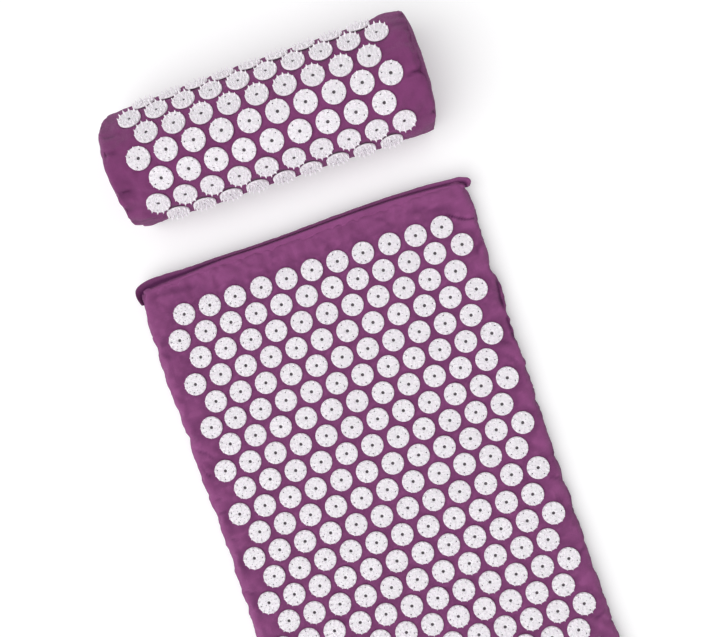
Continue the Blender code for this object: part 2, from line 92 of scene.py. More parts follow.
# Mat
MAT_ROWS = 20
MAT_HEAD_ROW_DISCS = 11
MAT_HEAD_ROW_Y = 0.264725
MAT_PATTERN_SHIFT = 0.0028
# Bend of the pattern in mm, across and along: shares of 1, x, y, x*x, x*y and y*y, in units of PATTERN_UNITS and
# with y from PATTERN_MIDDLE
PATTERN_UNITS = (0.17, 0.2)
PATTERN_MIDDLE = 0.05
PATTERN_BEND = ((0.515, 0.033, -0.249, -0.482, -0.428, -0.891), (0.985, -0.708, 0.250, -1.415, 0.305, -1.321))
# Discs that sit off it, as (row, number in it): (x, y) in mm
MOVED_DISCS = {(0, 0): (-2.0, 0.5), (0, 1): (-1.3, 0.5), (0, 2): (-1.0, 0.3), (0, 8): (1.1, 0.0),
               (0, 9): (1.5, -0.3), (0, 10): (1.9, -0.3), (1, 0): (-1.5, -0.2), (1, 11): (1.6, 0.2),
               (3, 0): (-0.7, -1.4), (4, 0): (0.2, -1.3), (5, 0): (0.9, -1.6), (7, 0): (0.2, -1.0),
               (9, 10): (0.0, 1.0), (10, 8): (-0.2, 1.2), (10, 9): (-0.3, 1.3), (10, 10): (-0.1, 1.5),
               (11, 10): (-0.1, 1.1)}
MAT_THICKNESS = 0.0200
MAT_HEAD = 0.310725
MAT_FOOT = -0.310725
MAT_BEND = 0.0100
MAT_FULLNESS = 2.5
SEAM_GROOVE = 0.0007
SEAM_GAP = 0.00015
CLOTH = 0.0008
LEFT_SIDE = ((-0.3107, 0.2077), (-0.1994, 0.2057), (-0.0588, 0.2037), (0.0013, 0.2042), (0.0463, 0.2054),
             (0.1011, 0.2070), (0.1510, 0.2083), (0.2007, 0.2100), (0.2305, 0.2095), (0.2622, 0.2087),
             (0.2840, 0.2063), (0.3107, 0.2044))
RIGHT_SIDE = ((-0.3107, 0.2081), (-0.2006, 0.2055), (-0.0598, 0.2044), (0.0003, 0.2045), (0.0453, 0.2049),
              (0.0903, 0.2052), (0.1252, 0.2056), (0.1700, 0.2068), (0.1999, 0.2057), (0.2495, 0.2066),
              (0.2793, 0.2073), (0.3107, 0.2039))
LEFT_NOTCHES = ((0.237, 1.5), (0.176, 0.5), (0.134, 0.7), (0.120, 1.5), (0.079, 0.8), (0.052, 0.8), (0.026, 1.2),
                (-0.006, 0.9), (-0.030, 1.2), (-0.062, 0.8), (-0.096, 1.3), (-0.128, 0.7), (-0.155, 1.2),
                (-0.190, 0.9), (-0.222, 1.3), (-0.251, 0.8), (-0.277, 1.1))
RIGHT_NOTCHES = ((0.240, 1.0), (0.197, 1.5), (0.161, 0.6), (0.140, 1.1), (0.111, 1.7), (0.069, 0.8), (0.034, 1.2),
                 (0.003, 0.8), (-0.035, 1.3), (-0.066, 0.7), (-0.101, 1.2), (-0.140, 0.9), (-0.171, 1.3),
                 (-0.204, 0.8), (-0.239, 1.2), (-0.268, 0.9))
FOOT_NOTCHES = ((-0.168, 1.0), (-0.131, 1.3), (-0.090, 0.8), (-0.052, 1.3), (-0.012, 0.9), (0.030, 1.2),
                (0.071, 0.9), (0.115, 1.3), (0.156, 0.9))

# Pillow, in its own frame: x along it, y across it
PILLOW_PLACE = (0.0135, 0.438725, 0.0)
PILLOW_TURN = math.radians(-0.86)
PILLOW_ROWS = 7
PILLOW_END_ROW_DISCS = 9
PILLOW_ROW_STEP = 0.0263
PILLOW_RADIUS = 0.0690
PILLOW_AXIS = 0.0380
PILLOW_CORNER = 0.0080
PILLOW_FRONT_TUCK = 0.0110
PILLOW_PATTERN_SHIFT = 0.0082
PILLOW_FRONT_ROW_SHIFT = (-0.0028, 0.0020)
PILLOW_FRONT_SEAM = 0.0120
PILLOW_ZIP_HEIGHT = 0.0205
PILLOW_END_SEAM = 0.1778
PILLOW_END_BEND = 0.0075
PILLOW_END_DRAW_IN = 0.0024
PILLOW_END_DOME = 0.0038


# Small tools
def through(place, knots):
    """Smooth curve through (place, value) knots, with values of any length."""
    xs = np.array([k[0] for k in knots], float)
    ys = np.array([k[1] for k in knots], float).reshape(len(knots), -1)
    slopes = np.gradient(ys, xs, axis=0)
    place = np.asarray(place, float)
    flat = np.clip(place.ravel(), xs[0], xs[-1])
    i = np.clip(np.searchsorted(xs, flat) - 1, 0, len(xs) - 2)
    h = (xs[i + 1] - xs[i])[:, None]
    t = (flat[:, None] - xs[i][:, None]) / h
    out = ((2 * t**3 - 3 * t**2 + 1) * ys[i] + (t**3 - 2 * t**2 + t) * h * slopes[i]
           + (3 * t**2 - 2 * t**3) * ys[i + 1] + (t**3 - t**2) * h * slopes[i + 1])
    return out.reshape(place.shape + ((ys.shape[1],) if ys.shape[1] > 1 else ()))


def ripple(points, wavelength, seed, count=22):
    """Even random waves, about -2 to 2, of that wavelength in metres."""
    draw = np.random.default_rng(seed)
    k = draw.normal(size=(count, points.shape[-1]))
    k *= 2 * math.pi / wavelength * draw.uniform(0.6, 1.4, (count, 1)) / np.linalg.norm(k, axis=1, keepdims=True)
    phase = draw.uniform(0, 2 * math.pi, count)
    return math.sqrt(2 / count) * np.cos(points @ k.T + phase).sum(-1)


def along_ripple(place, wavelength, seed):
    """The same along one line."""
    return ripple(np.stack([place, 0 * place], -1), wavelength, seed)


def rise(x, low, high):
    """0 under low, 1 over high, and a smooth step between them."""
    t = np.clip((x - low) / (high - low), 0, 1)
    return t * t * (3 - 2 * t)


def bell(x, width):
    return np.exp(-(x / width) ** 2)


def lump(gap, size, width, core):
    """A wide bell with a narrow one on top of it."""
    return size * (bell(gap, width) + core * bell(gap, width * 0.35))


def unit(vectors):
    return vectors / np.maximum(np.linalg.norm(vectors, axis=-1, keepdims=True), 1e-12)


def in_frame(points, matrix):
    matrix = np.array(matrix)
    return points @ matrix[:3, :3].T + matrix[:3, 3]


def finer(grid, axis, closed=False):
    """The grid with a point put between every two, on a smooth curve through its neighbours."""
    a = np.moveaxis(grid, axis, 0)
    if closed:
        before, after, last = np.roll(a, 1, 0), np.roll(a, -1, 0), np.roll(a, -2, 0)
        middle = (9 * (a + after) - before - last) / 16
        out = np.stack([a, middle], 1).reshape((-1,) + a.shape[1:])
        return np.moveaxis(out, 0, axis)
    long = np.concatenate([2 * a[:1] - a[1:2], a, 2 * a[-1:] - a[-2:-1]])
    middle = (9 * (long[1:-2] + long[2:-1]) - long[:-3] - long[3:]) / 16
    out = np.empty((2 * len(a) - 1,) + a.shape[1:])
    out[0::2], out[1::2] = a, middle
    return np.moveaxis(out, 0, axis)


def ring_normals(grid):
    """Normals of a grid whose second axis is closed."""
    return unit(np.cross(np.roll(grid, -1, 1) - np.roll(grid, 1, 1), np.gradient(grid, axis=0)))


def grid_faces(rows, columns, closed=False, keep=None):
    """Quads of a grid of points, as rows of four indices. keep is a mask of (rows-1, columns or columns-1)."""
    ids = np.arange(rows * columns).reshape(rows, columns)
    right = np.roll(ids, -1, 1) if closed else ids[:, 1:]
    left = ids if closed else ids[:, :-1]
    quads = np.stack([left[:-1], right[:-1], right[1:], left[1:]], -1)
    return quads[keep] if keep is not None else quads.reshape(-1, 4)


def end_fans(count, ring):
    """Triangles that close a grid of rings at both ends, round two middles that come after the grid's points."""
    first = list(range(ring))
    last = [(count - 1) * ring + v for v in first]
    left = [(a, b, count * ring) for a, b in zip(first, first[1:] + first[:1])]
    right = [(b, a, count * ring + 1) for a, b in zip(last, last[1:] + last[:1])]
    return left, right


def closed_faces(count, ring):
    """Faces of a closed grid of rings and of its two ends."""
    left, right = end_fans(count, ring)
    return grid_faces(count, ring, closed=True)[:, ::-1].tolist() + left + right


def with_middles(values):
    """A grid's values in one row, and after them the means of its first and its last ring."""
    return np.concatenate([values.reshape((-1,) + values.shape[2:]), [values[0].mean(0), values[-1].mean(0)]])


def link(name, data):
    """An object of that data, put in the scene."""
    obj = bpy.data.objects.new(name, data)
    bpy.context.scene.collection.objects.link(obj)
    return obj


def link_mesh(name, points, faces, material):
    """A smooth object from points and lists of faces."""
    mesh = bpy.data.meshes.new(name)
    mesh.from_pydata(points.tolist(), [], faces)
    mesh.materials.append(material)
    mesh.polygons.foreach_set("use_smooth", [True] * len(mesh.polygons))
    return link(name, mesh)


def add_values(obj, key, values):
    """An attribute with a number or a vector for each point."""
    values = np.asarray(values, np.float32)
    kind, field = ("FLOAT", "value") if values.ndim == 1 else ("FLOAT_VECTOR", "vector")
    obj.data.attributes.new(key, kind, "POINT").data.foreach_set(field, values.ravel())


def renumbered(count, ids):
    """The numbers of the points in use, and for each of all points its new number among them."""
    used = np.unique(ids)
    new_id = np.full(count, -1)
    new_id[used] = np.arange(len(used))
    return used, new_id


def add_mesh(name, points, faces, material, **attributes):
    """An object from numpy points and faces with attributes. Points that no face uses are left out."""
    faces = [np.asarray(f) for f in faces]
    used, new_id = renumbered(len(points), np.concatenate(faces))
    obj = link_mesh(name, points[used], [new_id[f].tolist() for f in faces], material)
    for key, values in attributes.items():
        add_values(obj, key, values[used])
    return obj


def mend_normals(mesh):
    """Turns all faces outwards."""
    shape = bmesh.new()
    shape.from_mesh(mesh)
    bmesh.ops.recalc_face_normals(shape, faces=shape.faces)
    shape.to_mesh(mesh)
    shape.free()


def apply_modifiers(obj):
    graph = bpy.context.evaluated_depsgraph_get()
    graph.update()
    mesh = bpy.data.meshes.new_from_object(obj.evaluated_get(graph), preserve_all_data_layers=True, depsgraph=graph)
    obj.modifiers.clear()
    old = obj.data
    obj.data = mesh
    bpy.data.meshes.remove(old)


def thicken(obj, thickness):
    """Gives a sheet its thickness, inwards from the faces that it has."""
    solid = obj.modifiers.new("thickness", "SOLIDIFY")
    solid.thickness = thickness
    solid.offset = -1
    solid.use_rim = True
    apply_modifiers(obj)


def dress(obj, body, slot, *nodes):
    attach(obj, body)
    if nodes:
        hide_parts(*nodes)
    return obj


def tube(path, radius, sides):
    """(points, faces) of a round thread along a path, closed at both ends."""
    along = unit(np.gradient(path, axis=0))
    upright = abs(along[:, 2]).max() < 0.95
    side = unit(np.cross(along, np.array([0.0, 0.0, 1.0] if upright else [0.37, 0.61, 0.70])))
    other = np.cross(side, along)
    angles = np.arange(sides) * 2 * math.pi / sides
    points = path[:, None] + radius * (
        np.cos(angles)[None, :, None] * side[:, None] + np.sin(angles)[None, :, None] * other[:, None])
    ends = [list(range(sides))[::-1], [(len(path) - 1) * sides + k for k in range(sides)]]
    return points.reshape(-1, 3), grid_faces(len(path), sides, closed=True).tolist() + ends


def tube_object(name, parts, matrix, material, body, slot, *nodes):
    """One object of threads, whose points are in the frame of the matrix."""
    points, faces, start = [], [], 0
    for part, part_faces in parts:
        points.append(part)
        faces += [[v + start for v in face] for face in part_faces]
        start += len(part)
    obj = link_mesh(name, in_frame(np.concatenate(points), matrix), faces, material)
    mend_normals(obj.data)
    return dress(obj, body, slot, *nodes)


# Materials
class Nodes:
    """Shorthand for building one material's nodes."""

    def __init__(self, name):
        self.material = bpy.data.materials.new(name)
        self.material.use_nodes = True
        self.tree = self.material.node_tree
        self.shader = self.tree.nodes["Principled BSDF"]

    def new(self, kind, **inputs):
        props = {k: inputs.pop(k) for k in list(inputs) if k in ("operation", "attribute_name", "data_type")}
        made = self.tree.nodes.new(kind)
        for key, value in props.items():
            setattr(made, key, value)
        for key, value in inputs.items():
            number = key[0] == "i" and key[1:].isdigit()
            self.feed(made.inputs[int(key[1:]) if number else key.replace("_", " ")], value)
        return made

    def feed(self, socket, value):
        """Links a socket to another one, or gives it a value."""
        if hasattr(value, "is_output"):
            self.tree.links.new(value, socket)
        elif isinstance(value, tuple) and len(socket.default_value) == 4:
            socket.default_value = (*value, 1.0)
        else:
            socket.default_value = value

    def math(self, operation, a, b=0.0, c=0.0):
        return self.new("ShaderNodeMath", operation=operation, i0=a, i1=b, i2=c).outputs[0]

    def attribute(self, name):
        return self.new("ShaderNodeAttribute", attribute_name=name)

    def mix(self, share, a, b):
        return self.new("ShaderNodeMix", data_type="RGBA", i0=share, i6=a, i7=b).outputs[2]

    def ramp(self, value, low, high, to_low=0.0, to_high=1.0):
        return self.new("ShaderNodeMapRange", i0=value, i1=low, i2=high, i3=to_low, i4=to_high).outputs[0]

    def noise(self, vector, scale, detail=3.0, roughness=0.5):
        made = self.new("ShaderNodeTexNoise", Vector=vector, Scale=scale, Detail=detail, Roughness=roughness)
        return made.outputs[0]

    def place(self):
        return self.new("ShaderNodeTexCoord").outputs["Object"]

    def split(self, vector):
        return self.new("ShaderNodeSeparateXYZ", Vector=vector).outputs

    def wave(self, value, length):
        return self.math("SINE", self.math("MULTIPLY", value, 2 * math.pi / length))

    def bump(self, height, distance, strength=1.0, under=None):
        under = {} if under is None else {"Normal": under}
        return self.new("ShaderNodeBump", Height=height, Distance=distance, Strength=strength, **under).outputs[0]

    def set(self, **values):
        for key, value in values.items():
            self.feed(self.shader.inputs[key.replace("_", " ")], value)


def shaded(colour, share, more=0.0):
    return tuple(min(1.0, share * c + more) for c in colour)


def cotton(name, colour, shade_colour, pitch=0.00046, weave=0.00009):
    """Plain-weave cotton. The cloth attribute runs along its threads in metres. Over 0, the shading attribute is
    painted shade in folds, creases, seams, valleys and among the discs; under 0 it is painted highlight on rolled
    edges, crests and swellings. The third attribute is dark grey painted under the discs, seen through their holes,
    which stands partly for their shade."""
    n = Nodes(name)
    place = n.attribute("cloth").outputs["Vector"]
    crease = n.attribute("crease").outputs["Fac"]
    x, y, _ = n.split(place)
    threads = n.math("MULTIPLY", n.wave(x, pitch), n.wave(y, pitch))
    slubs = []
    for along, across in (SLUB_SCALES, SLUB_SCALES[::-1]):
        scaled = n.new("ShaderNodeCombineXYZ", X=n.math("MULTIPLY", x, along), Y=n.math("MULTIPLY", y, across))
        slubs.append(n.noise(scaled.outputs[0], 1.0, 2.0))
    slub = n.math("ADD", *slubs)
    patches = n.noise(place, 21.0, 3.0)
    mottle = n.noise(place, 160.0, 4.0, 0.6)
    tone_and_weave_shading = n.math("ADD", n.ramp(slub, 0.75, 1.25, -0.20, 0.20),
                   n.math("ADD", n.ramp(patches, 0.35, 0.65, -0.30, 0.30), n.ramp(mottle, 0.35, 0.65, -0.16, 0.16)))
    # The weave's relief painted in: lighter on the thread crests and darker between them, as painted highlight and
    # shade.
    tone_and_weave_shading = n.math("ADD", tone_and_weave_shading, n.math("MULTIPLY", threads, 0.14))
    body = n.mix(n.ramp(tone_and_weave_shading, -0.8, 0.8), shaded(colour, 0.80), shaded(colour, 1.18, 0.006))
    # Painted highlight where the shading attribute is under 0: the left rolled edge, wave crests and the swellings
    # beside creases.
    with_painted_highlight = n.mix(n.ramp(crease, 0.0, -1.0, 0.0, 0.45), body, shaded(colour, 1.35, 0.02))
    # Painted shade where it is over 0: folds, creases, seams, valleys and the cloth among the discs.
    final = n.mix(n.ramp(crease, 0.0, 1.0), with_painted_highlight, shade_colour)
    # Dark grey painted under the discs, seen through their holes, standing partly for the shade in them.
    final = n.mix(n.attribute("glue").outputs["Fac"], final, HOLE_DARK)
    fuzz = n.noise(place, 900.0, 4.0, 0.7)
    normal = n.bump(mottle, 0.0006, 0.6)
    normal = n.bump(fuzz, 0.0002, 0.5, normal)
    normal = n.bump(threads, weave, 1.0, normal)
    n.set(Base_Color=final, Roughness=n.ramp(mottle, 0.3, 0.7, 0.82, 0.94), Normal=normal,
          Sheen_Weight=0.22, Sheen_Roughness=0.45, Sheen_Tint=(0.95, 0.62, 0.88), Specular_IOR_Level=0.22)
    return n.material


def disc_plastic():
    n = Nodes("white_disc_plastic")
    place = n.attribute("disc").outputs["Vector"]
    world = n.place()
    x, y, _ = n.split(place)
    radius = n.math("SQRT", n.math("ADD", n.math("POWER", x, 2.0), n.math("POWER", y, 2.0)))
    flow = n.noise(world, 260.0, 3.0)
    grain = n.noise(world, 3200.0, 3.0)
    # Grey round the middle hole, in patches, mixed in at half strength at most.
    hub_grey = n.math("MULTIPLY", n.ramp(radius, 0.0030, 0.0012), n.ramp(flow, 0.4, 0.7))
    body = n.mix(n.ramp(flow, 0.3, 0.7), (0.905, 0.828, 0.925), (0.952, 0.880, 0.965))
    body = n.mix(n.math("MULTIPLY", hub_grey, 0.5), body, (0.62, 0.58, 0.60))
    normal = n.bump(n.wave(radius, 0.0009), 0.000012, 1.0)
    normal = n.bump(flow, 0.00012, 0.5, normal)
    normal = n.bump(grain, 0.00001, 0.6, normal)
    n.set(Base_Color=body, Roughness=n.ramp(flow, 0.3, 0.7, 0.30, 0.44), Normal=normal, IOR=1.49,
          Subsurface_Weight=1.0, Subsurface_Scale=0.0034, Subsurface_Radius=(1.0, 0.96, 0.98))
    return n.material


def foam():
    n = Nodes("cream_foam")
    world = n.place()
    cells = n.new("ShaderNodeTexVoronoi", Vector=world, Scale=1100.0).outputs[0]
    clumps = n.noise(world, 240.0, 4.0)
    # Darker where the cells dip: painted shade in the foam's pits.
    body = n.mix(n.ramp(cells, 0.1, 0.6), (0.50, 0.44, 0.30), (0.84, 0.79, 0.64))
    body = n.mix(n.ramp(clumps, 0.35, 0.65, 0.0, 0.35), body, (0.72, 0.65, 0.47))
    normal = n.bump(cells, 0.0005, 0.9)
    normal = n.bump(clumps, 0.0006, 0.4, normal)
    n.set(Base_Color=body, Roughness=0.95, Normal=normal, Specular_IOR_Level=0.15)
    return n.material


def nylon(name, colour):
    n = Nodes(name)
    world = n.place()
    flow = n.noise(world, 1500.0, 3.0)
    n.set(Base_Color=n.mix(flow, shaded(colour, 0.8), shaded(colour, 1.25)), IOR=1.53,
          Roughness=n.ramp(flow, 0.3, 0.7, 0.30, 0.45), Normal=n.bump(flow, 0.00004, 0.6))
    return n.material


def thread(name, colour):
    """Twisted sewing thread."""
    n = Nodes(name)
    world = n.place()
    x, y, z = n.split(world)
    ply = n.wave(n.math("ADD", n.math("ADD", x, y), z), 0.00045)
    fibre = n.noise(world, 4200.0, 3.0)
    # Lighter on the crests of the twist and darker in its grooves: painted highlight and shade that follow the ply's
    # relief.
    body = n.mix(n.ramp(ply, -1.0, 1.0), shaded(colour, 0.75), shaded(colour, 1.2))
    normal = n.bump(fibre, 0.00003, 0.7)
    normal = n.bump(ply, 0.00006, 1.0, normal)
    n.set(Base_Color=body, Roughness=0.62, Normal=normal, Sheen_Weight=0.2, Sheen_Roughness=0.4)
    return n.material


def plated_metal():
    n = Nodes("plated_zinc")
    world = n.place()
    flow = n.noise(world, 700.0, 4.0, 0.6)
    stretched = n.new("ShaderNodeMapping", Vector=world, Scale=(300.0, 300.0, 6000.0)).outputs[0]
    scuff = n.noise(stretched, 1.0, 3.0)
    body = n.mix(n.ramp(flow, 0.35, 0.65), (0.50, 0.50, 0.52), (0.68, 0.68, 0.69))
    normal = n.bump(flow, 0.00004, 0.5)
    normal = n.bump(scuff, 0.00002, 0.5, normal)
    n.set(Base_Color=body, Metallic=1.0, Roughness=n.ramp(scuff, 0.3, 0.7, 0.24, 0.42), Normal=normal)
    return n.material


SLUB_SCALES = (1800.0, 70.0)
# Dark grey painted on the cloth under the discs; it shows through their holes and stands partly for the shade in them.
HOLE_DARK = (0.160, 0.140, 0.155)
PURPLE = (0.284, 0.069, 0.219)
# Colour of the painted shade in the mat cover's folds, creases, seams and valleys; the other cottons below get theirs
# as their second colour.
PURPLE_PAINTED_SHADE = (0.085, 0.012, 0.072)
COTTON = cotton("purple_cotton", PURPLE, PURPLE_PAINTED_SHADE)
PILLOW_COTTON = cotton("purple_cotton_pillow", (0.225, 0.046, 0.170), (0.070, 0.010, 0.058))
UNDERSIDE = cotton("purple_cotton_underside", (0.190, 0.047, 0.152), (0.070, 0.011, 0.060), 0.00060, 0.00012)
TAPE = cotton("purple_zip_tape", (0.150, 0.036, 0.122), (0.060, 0.010, 0.050), 0.00090, 0.00014)
PLASTIC = disc_plastic()
FOAM = foam()
COIL = nylon("purple_nylon_coil", (0.150, 0.036, 0.122))
THREAD = thread("purple_thread", (0.200, 0.048, 0.160))
METAL = plated_metal()


# Discs, built in mm so that the solver works on numbers of a fair size
def around(radius, angle):
    """A place on a circle round the origin."""
    return radius * math.cos(angle), radius * math.sin(angle)


def disc_plate():
    """A plate with five holes and its rim rounded."""
    curve = bpy.data.curves.new("disc_plate", "CURVE")
    curve.dimensions = "2D"
    curve.fill_mode = "BOTH"
    scale = 1 / MM
    curve.extrude = (DISC_PLATE / 2 - DISC_EDGE) * scale
    curve.bevel_depth = DISC_EDGE * scale
    curve.bevel_resolution = 1
    curve.offset = -DISC_EDGE * scale
    rings = [(0, 0, DISC_RADIUS, DISC_SIDES), (0, 0, HUB_HOLE, HUB_SIDES)]
    rings += [(*around(SMALL_HOLE_RING, math.pi / 2 * k), SMALL_HOLE, SMALL_SIDES) for k in range(4)]
    for x, y, radius, count in rings:
        spline = curve.splines.new("POLY")
        spline.points.add(count - 1)
        spline.use_cyclic_u = True
        for k, point in enumerate(spline.points):
            u, v = around(radius, 2 * math.pi * k / count)
            point.co = ((x + u) * scale, (y + v) * scale, 0, 1)
    outline = link("disc_plate", curve)
    graph = bpy.context.evaluated_depsgraph_get()
    plate = bpy.data.meshes.new_from_object(outline.evaluated_get(graph), depsgraph=graph)
    bpy.data.objects.remove(outline)
    shape = bmesh.new()
    shape.from_mesh(plate)
    bmesh.ops.remove_doubles(shape, verts=shape.verts, dist=0.0001)
    bmesh.ops.translate(shape, verts=shape.verts, vec=(0, 0, DISC_PLATE / 2 * scale))
    shape.to_mesh(plate)
    shape.free()
    mend_normals(plate)
    return plate


def disc_spikes():
    """27 closed spikes that reach into the plate."""
    shape = bmesh.new()
    for ring, (count, reach, foot) in enumerate(SPIKE_RINGS):
        for k in range(count):
            angle = 2 * math.pi * (k + SPIKE_RING_TURN * ring) / count
            centre = Vector((*around(reach, angle), DISC_PLATE))
            lean = Vector((*around(1, angle), 0)) * (RIM_SPIKE_LEAN if ring == 0 else 0.0)
            loops = []
            for share, height in SPIKE_PROFILE:
                turns = (angle + 2 * math.pi * s / SPIKE_SIDES for s in range(SPIKE_SIDES))
                spots = [centre + Vector((*around(share * foot, a), height)) + lean * max(height, 0) for a in turns]
                loops.append([shape.verts.new(spot * (1 / MM)) for spot in spots])
            for low, high in zip(loops, loops[1:]):
                for s in range(SPIKE_SIDES):
                    t = (s + 1) % SPIKE_SIDES
                    shape.faces.new((low[s], low[t], high[t], high[s]))
            shape.faces.new(list(reversed(loops[0])))
            shape.faces.new(loops[-1])
    mesh = bpy.data.meshes.new("disc_spikes")
    shape.to_mesh(mesh)
    shape.free()
    return mesh


def disc_shape():
    """(points, faces) of one disc at the origin, with the spikes grown from its plate."""
    body, other = link("disc_body", disc_plate()), link("disc_spikes", disc_spikes())
    union = body.modifiers.new("union", "BOOLEAN")
    union.operation = "UNION"
    union.solver = "EXACT"
    union.object = other
    apply_modifiers(body)
    body.data.transform(Matrix.Scale(MM, 4))
    points = np.array([v.co for v in body.data.vertices])
    faces = [list(f.vertices) for f in body.data.polygons]
    for obj in (body, other):
        bpy.data.objects.remove(obj)
    return points, faces


DISC_POINTS, DISC_FACES = disc_shape()


def add_disc_row(name, places, body, node):
    """Discs in one object. A place is a 4x4 matrix; each disc is turned and tilted a little at random."""
    draw = np.random.default_rng(sum(map(ord, name)))
    points, faces = [], []
    for place in places:
        turn = draw.uniform(0, 2 * math.pi)
        tilt = Matrix.Rotation(draw.normal() * DISC_TILT / 2, 4, "X")
        tilt = tilt @ Matrix.Rotation(draw.normal() * DISC_TILT / 2, 4, "Y")
        lift = Matrix.Translation((0, 0, abs(draw.normal()) * DISC_LIFT))
        start = len(points) * len(DISC_POINTS)
        faces += [[v + start for v in f] for f in DISC_FACES]
        points.append(in_frame(DISC_POINTS, place @ lift @ tilt @ Matrix.Rotation(turn, 4, "Z")))
    obj = link_mesh(name, np.concatenate(points), faces, PLASTIC)
    add_values(obj, "disc", np.concatenate([DISC_POINTS] * len(places)))
    obj.data.set_sharp_from_angle(angle=SHARP_FROM)
    return dress(obj, body, "white_disc_plastic", node)


def mat_disc_centres():
    out = []
    for row in range(MAT_ROWS):
        count = MAT_HEAD_ROW_DISCS + row % 2
        places = []
        for k in range(count):
            x, y = MAT_PATTERN_SHIFT + (k - (count - 1) / 2) * DISC_PITCH, MAT_HEAD_ROW_Y - row * ROW_STEP
            u, v = x / PATTERN_UNITS[0], max((y - PATTERN_MIDDLE) / PATTERN_UNITS[1], -1.0)
            bend = np.array(PATTERN_BEND) @ (1, u, v, u * u, u * v, v * v)
            off = bend + MOVED_DISCS.get((row, k), (0.0, 0.0))
            places.append((x + off[0] * MM, y + off[1] * MM))
        out.append(places)
    return out


def pillow_disc_centres():
    """(x, angle from upright towards +y) of each disc, by rows."""
    out = []
    for row in range(PILLOW_ROWS):
        angle = (((PILLOW_ROWS - 1) / 2 - row) * PILLOW_ROW_STEP - PILLOW_PATTERN_SHIFT) / PILLOW_RADIUS
        count = PILLOW_END_ROW_DISCS + row % 2
        aside, up = PILLOW_FRONT_ROW_SHIFT if row == PILLOW_ROWS - 1 else (0.0, 0.0)
        out.append([((k - (count - 1) / 2) * DISC_PITCH + aside, angle + up / PILLOW_RADIUS) for k in range(count)])
    return out


PILLOW_MATRIX = Matrix.Translation(PILLOW_PLACE) @ Matrix.Rotation(PILLOW_TURN, 4, "Z")


# Mat cover
MAT_CELL = 0.0054
HEAD_CELL = 0.0027
HEAD_ZONE = 0.250
BEND_CELLS = 5
ZIP_WINDOW_HALF = 0.0052
MAT_ZIP_HALF = 0.1855
MAT_FLAT_X = 0.1972


def bend_steps(extra=()):
    """Shares of a bend's quarter turn, 1 at the seam, with extra ones put in place of the nearest."""
    shares = [(k + 1) / BEND_CELLS for k in range(BEND_CELLS)]
    for share in extra:
        nearest = min(range(BEND_CELLS - 1), key=lambda k: abs(shares[k] - share))
        shares[nearest] = share
    return shares


def superellipse(share):
    """(outwards, upwards) on a bend that is fuller than a circle, both from 0 to 1."""
    turn = share * math.pi / 2
    return np.sin(turn) ** (2 / MAT_FULLNESS), np.maximum(np.cos(turn), 0) ** (2 / MAT_FULLNESS)


def window_share():
    """Where on the bend the zip's window ends."""
    depth = (ZIP_WINDOW_HALF - SEAM_GAP) / (MAT_THICKNESS / 2 - SEAM_GAP)
    return 2 / math.pi * math.acos(depth ** (MAT_FULLNESS / 2))


def mat_lines():
    """Grid lines over the mat: across in x, and along in y. Each is (place on the flat, share of the bend, side)."""
    flat = np.linspace(-MAT_FLAT_X, MAT_FLAT_X, int(2 * MAT_FLAT_X / MAT_CELL) + 1)
    reach = int(np.argmin(abs(flat - MAT_ZIP_HALF)))
    flat[reach], flat[len(flat) - 1 - reach] = MAT_ZIP_HALF, -MAT_ZIP_HALF
    shares = bend_steps()
    across = [(flat[0], s, -1) for s in reversed(shares)] + [(x, 0, 0) for x in flat]
    across += [(flat[-1], s, 1) for s in shares]
    foot, head = MAT_FOOT + MAT_BEND, MAT_HEAD - MAT_BEND
    low = np.linspace(foot, HEAD_ZONE, int((HEAD_ZONE - foot) / MAT_CELL))
    high = np.linspace(HEAD_ZONE, head, int((head - HEAD_ZONE) / HEAD_CELL))[1:]
    along = [(foot, s, -1) for s in reversed(shares)] + [(y, 0, 0) for y in (*low, *high)]
    along += [(head, s, 1) for s in bend_steps((window_share(),))]
    return np.array(across), np.array(along)


def mat_grid(upper):
    """The cover's half as a grid of points, and its cloth coordinates."""
    across, along = mat_lines()
    x, x_bend, x_side = (across[:, k][None] for k in range(3))
    y, y_bend, y_side = (along[:, k][:, None] for k in range(3))
    furthest = np.maximum(x_bend, y_bend)
    spread = np.maximum(np.hypot(x_bend, y_bend), 1e-9)
    out, up = superellipse(furthest)
    py = y + y_side * MAT_BEND * out * y_bend / spread
    half = np.where(x < 0, through(py, LEFT_SIDE), through(py, RIGHT_SIDE)) - MAT_BEND
    px = x / MAT_FLAT_X * half + x_side * MAT_BEND * out * x_bend / spread
    middle = MAT_THICKNESS / 2
    height = SEAM_GAP + (middle - SEAM_GAP) * up
    pz = middle + (height if upper else -height)
    cloth_x = x + x_side * x_bend * MAT_BEND * math.pi / 2 + 0 * y
    cloth_y = y + y_side * y_bend * MAT_BEND * math.pi / 2 + 0 * x
    grid = np.stack([px, py, pz + 0 * px], -1)
    cloth = np.stack([cloth_x, cloth_y, 0 * px], -1)
    return grid, cloth


def mat_window():
    """Faces of a finer grid that the zip's window takes out of the head wall."""
    across, along = mat_lines()
    x = across[:, 0].copy()
    x[across[:, 1] > 0] = FAR
    inside = np.abs(x) <= MAT_ZIP_HALF + 1e-6
    column = np.repeat((inside[:-1] & inside[1:]), 2)
    share = window_share() - 1e-6
    deep = (along[:, 2] > 0) & (along[:, 1] >= share)
    row = np.repeat((deep[:-1] & deep[1:]), 2)
    return row[:, None] & column[None]


def nearest(x, y, spots):
    """Distance from each place to the nearest of the spots."""
    best = np.full(np.broadcast(x, y).shape, FAR)
    for spot_x, spot_y in spots:
        best = np.minimum(best, np.hypot(x - spot_x, y - spot_y))
    return best


def nearest_disc(points):
    """Distance in the plan from each point to the middle of the mat's nearest disc."""
    return nearest(points[..., 0], points[..., 1], [spot for row in mat_disc_centres() for spot in row])


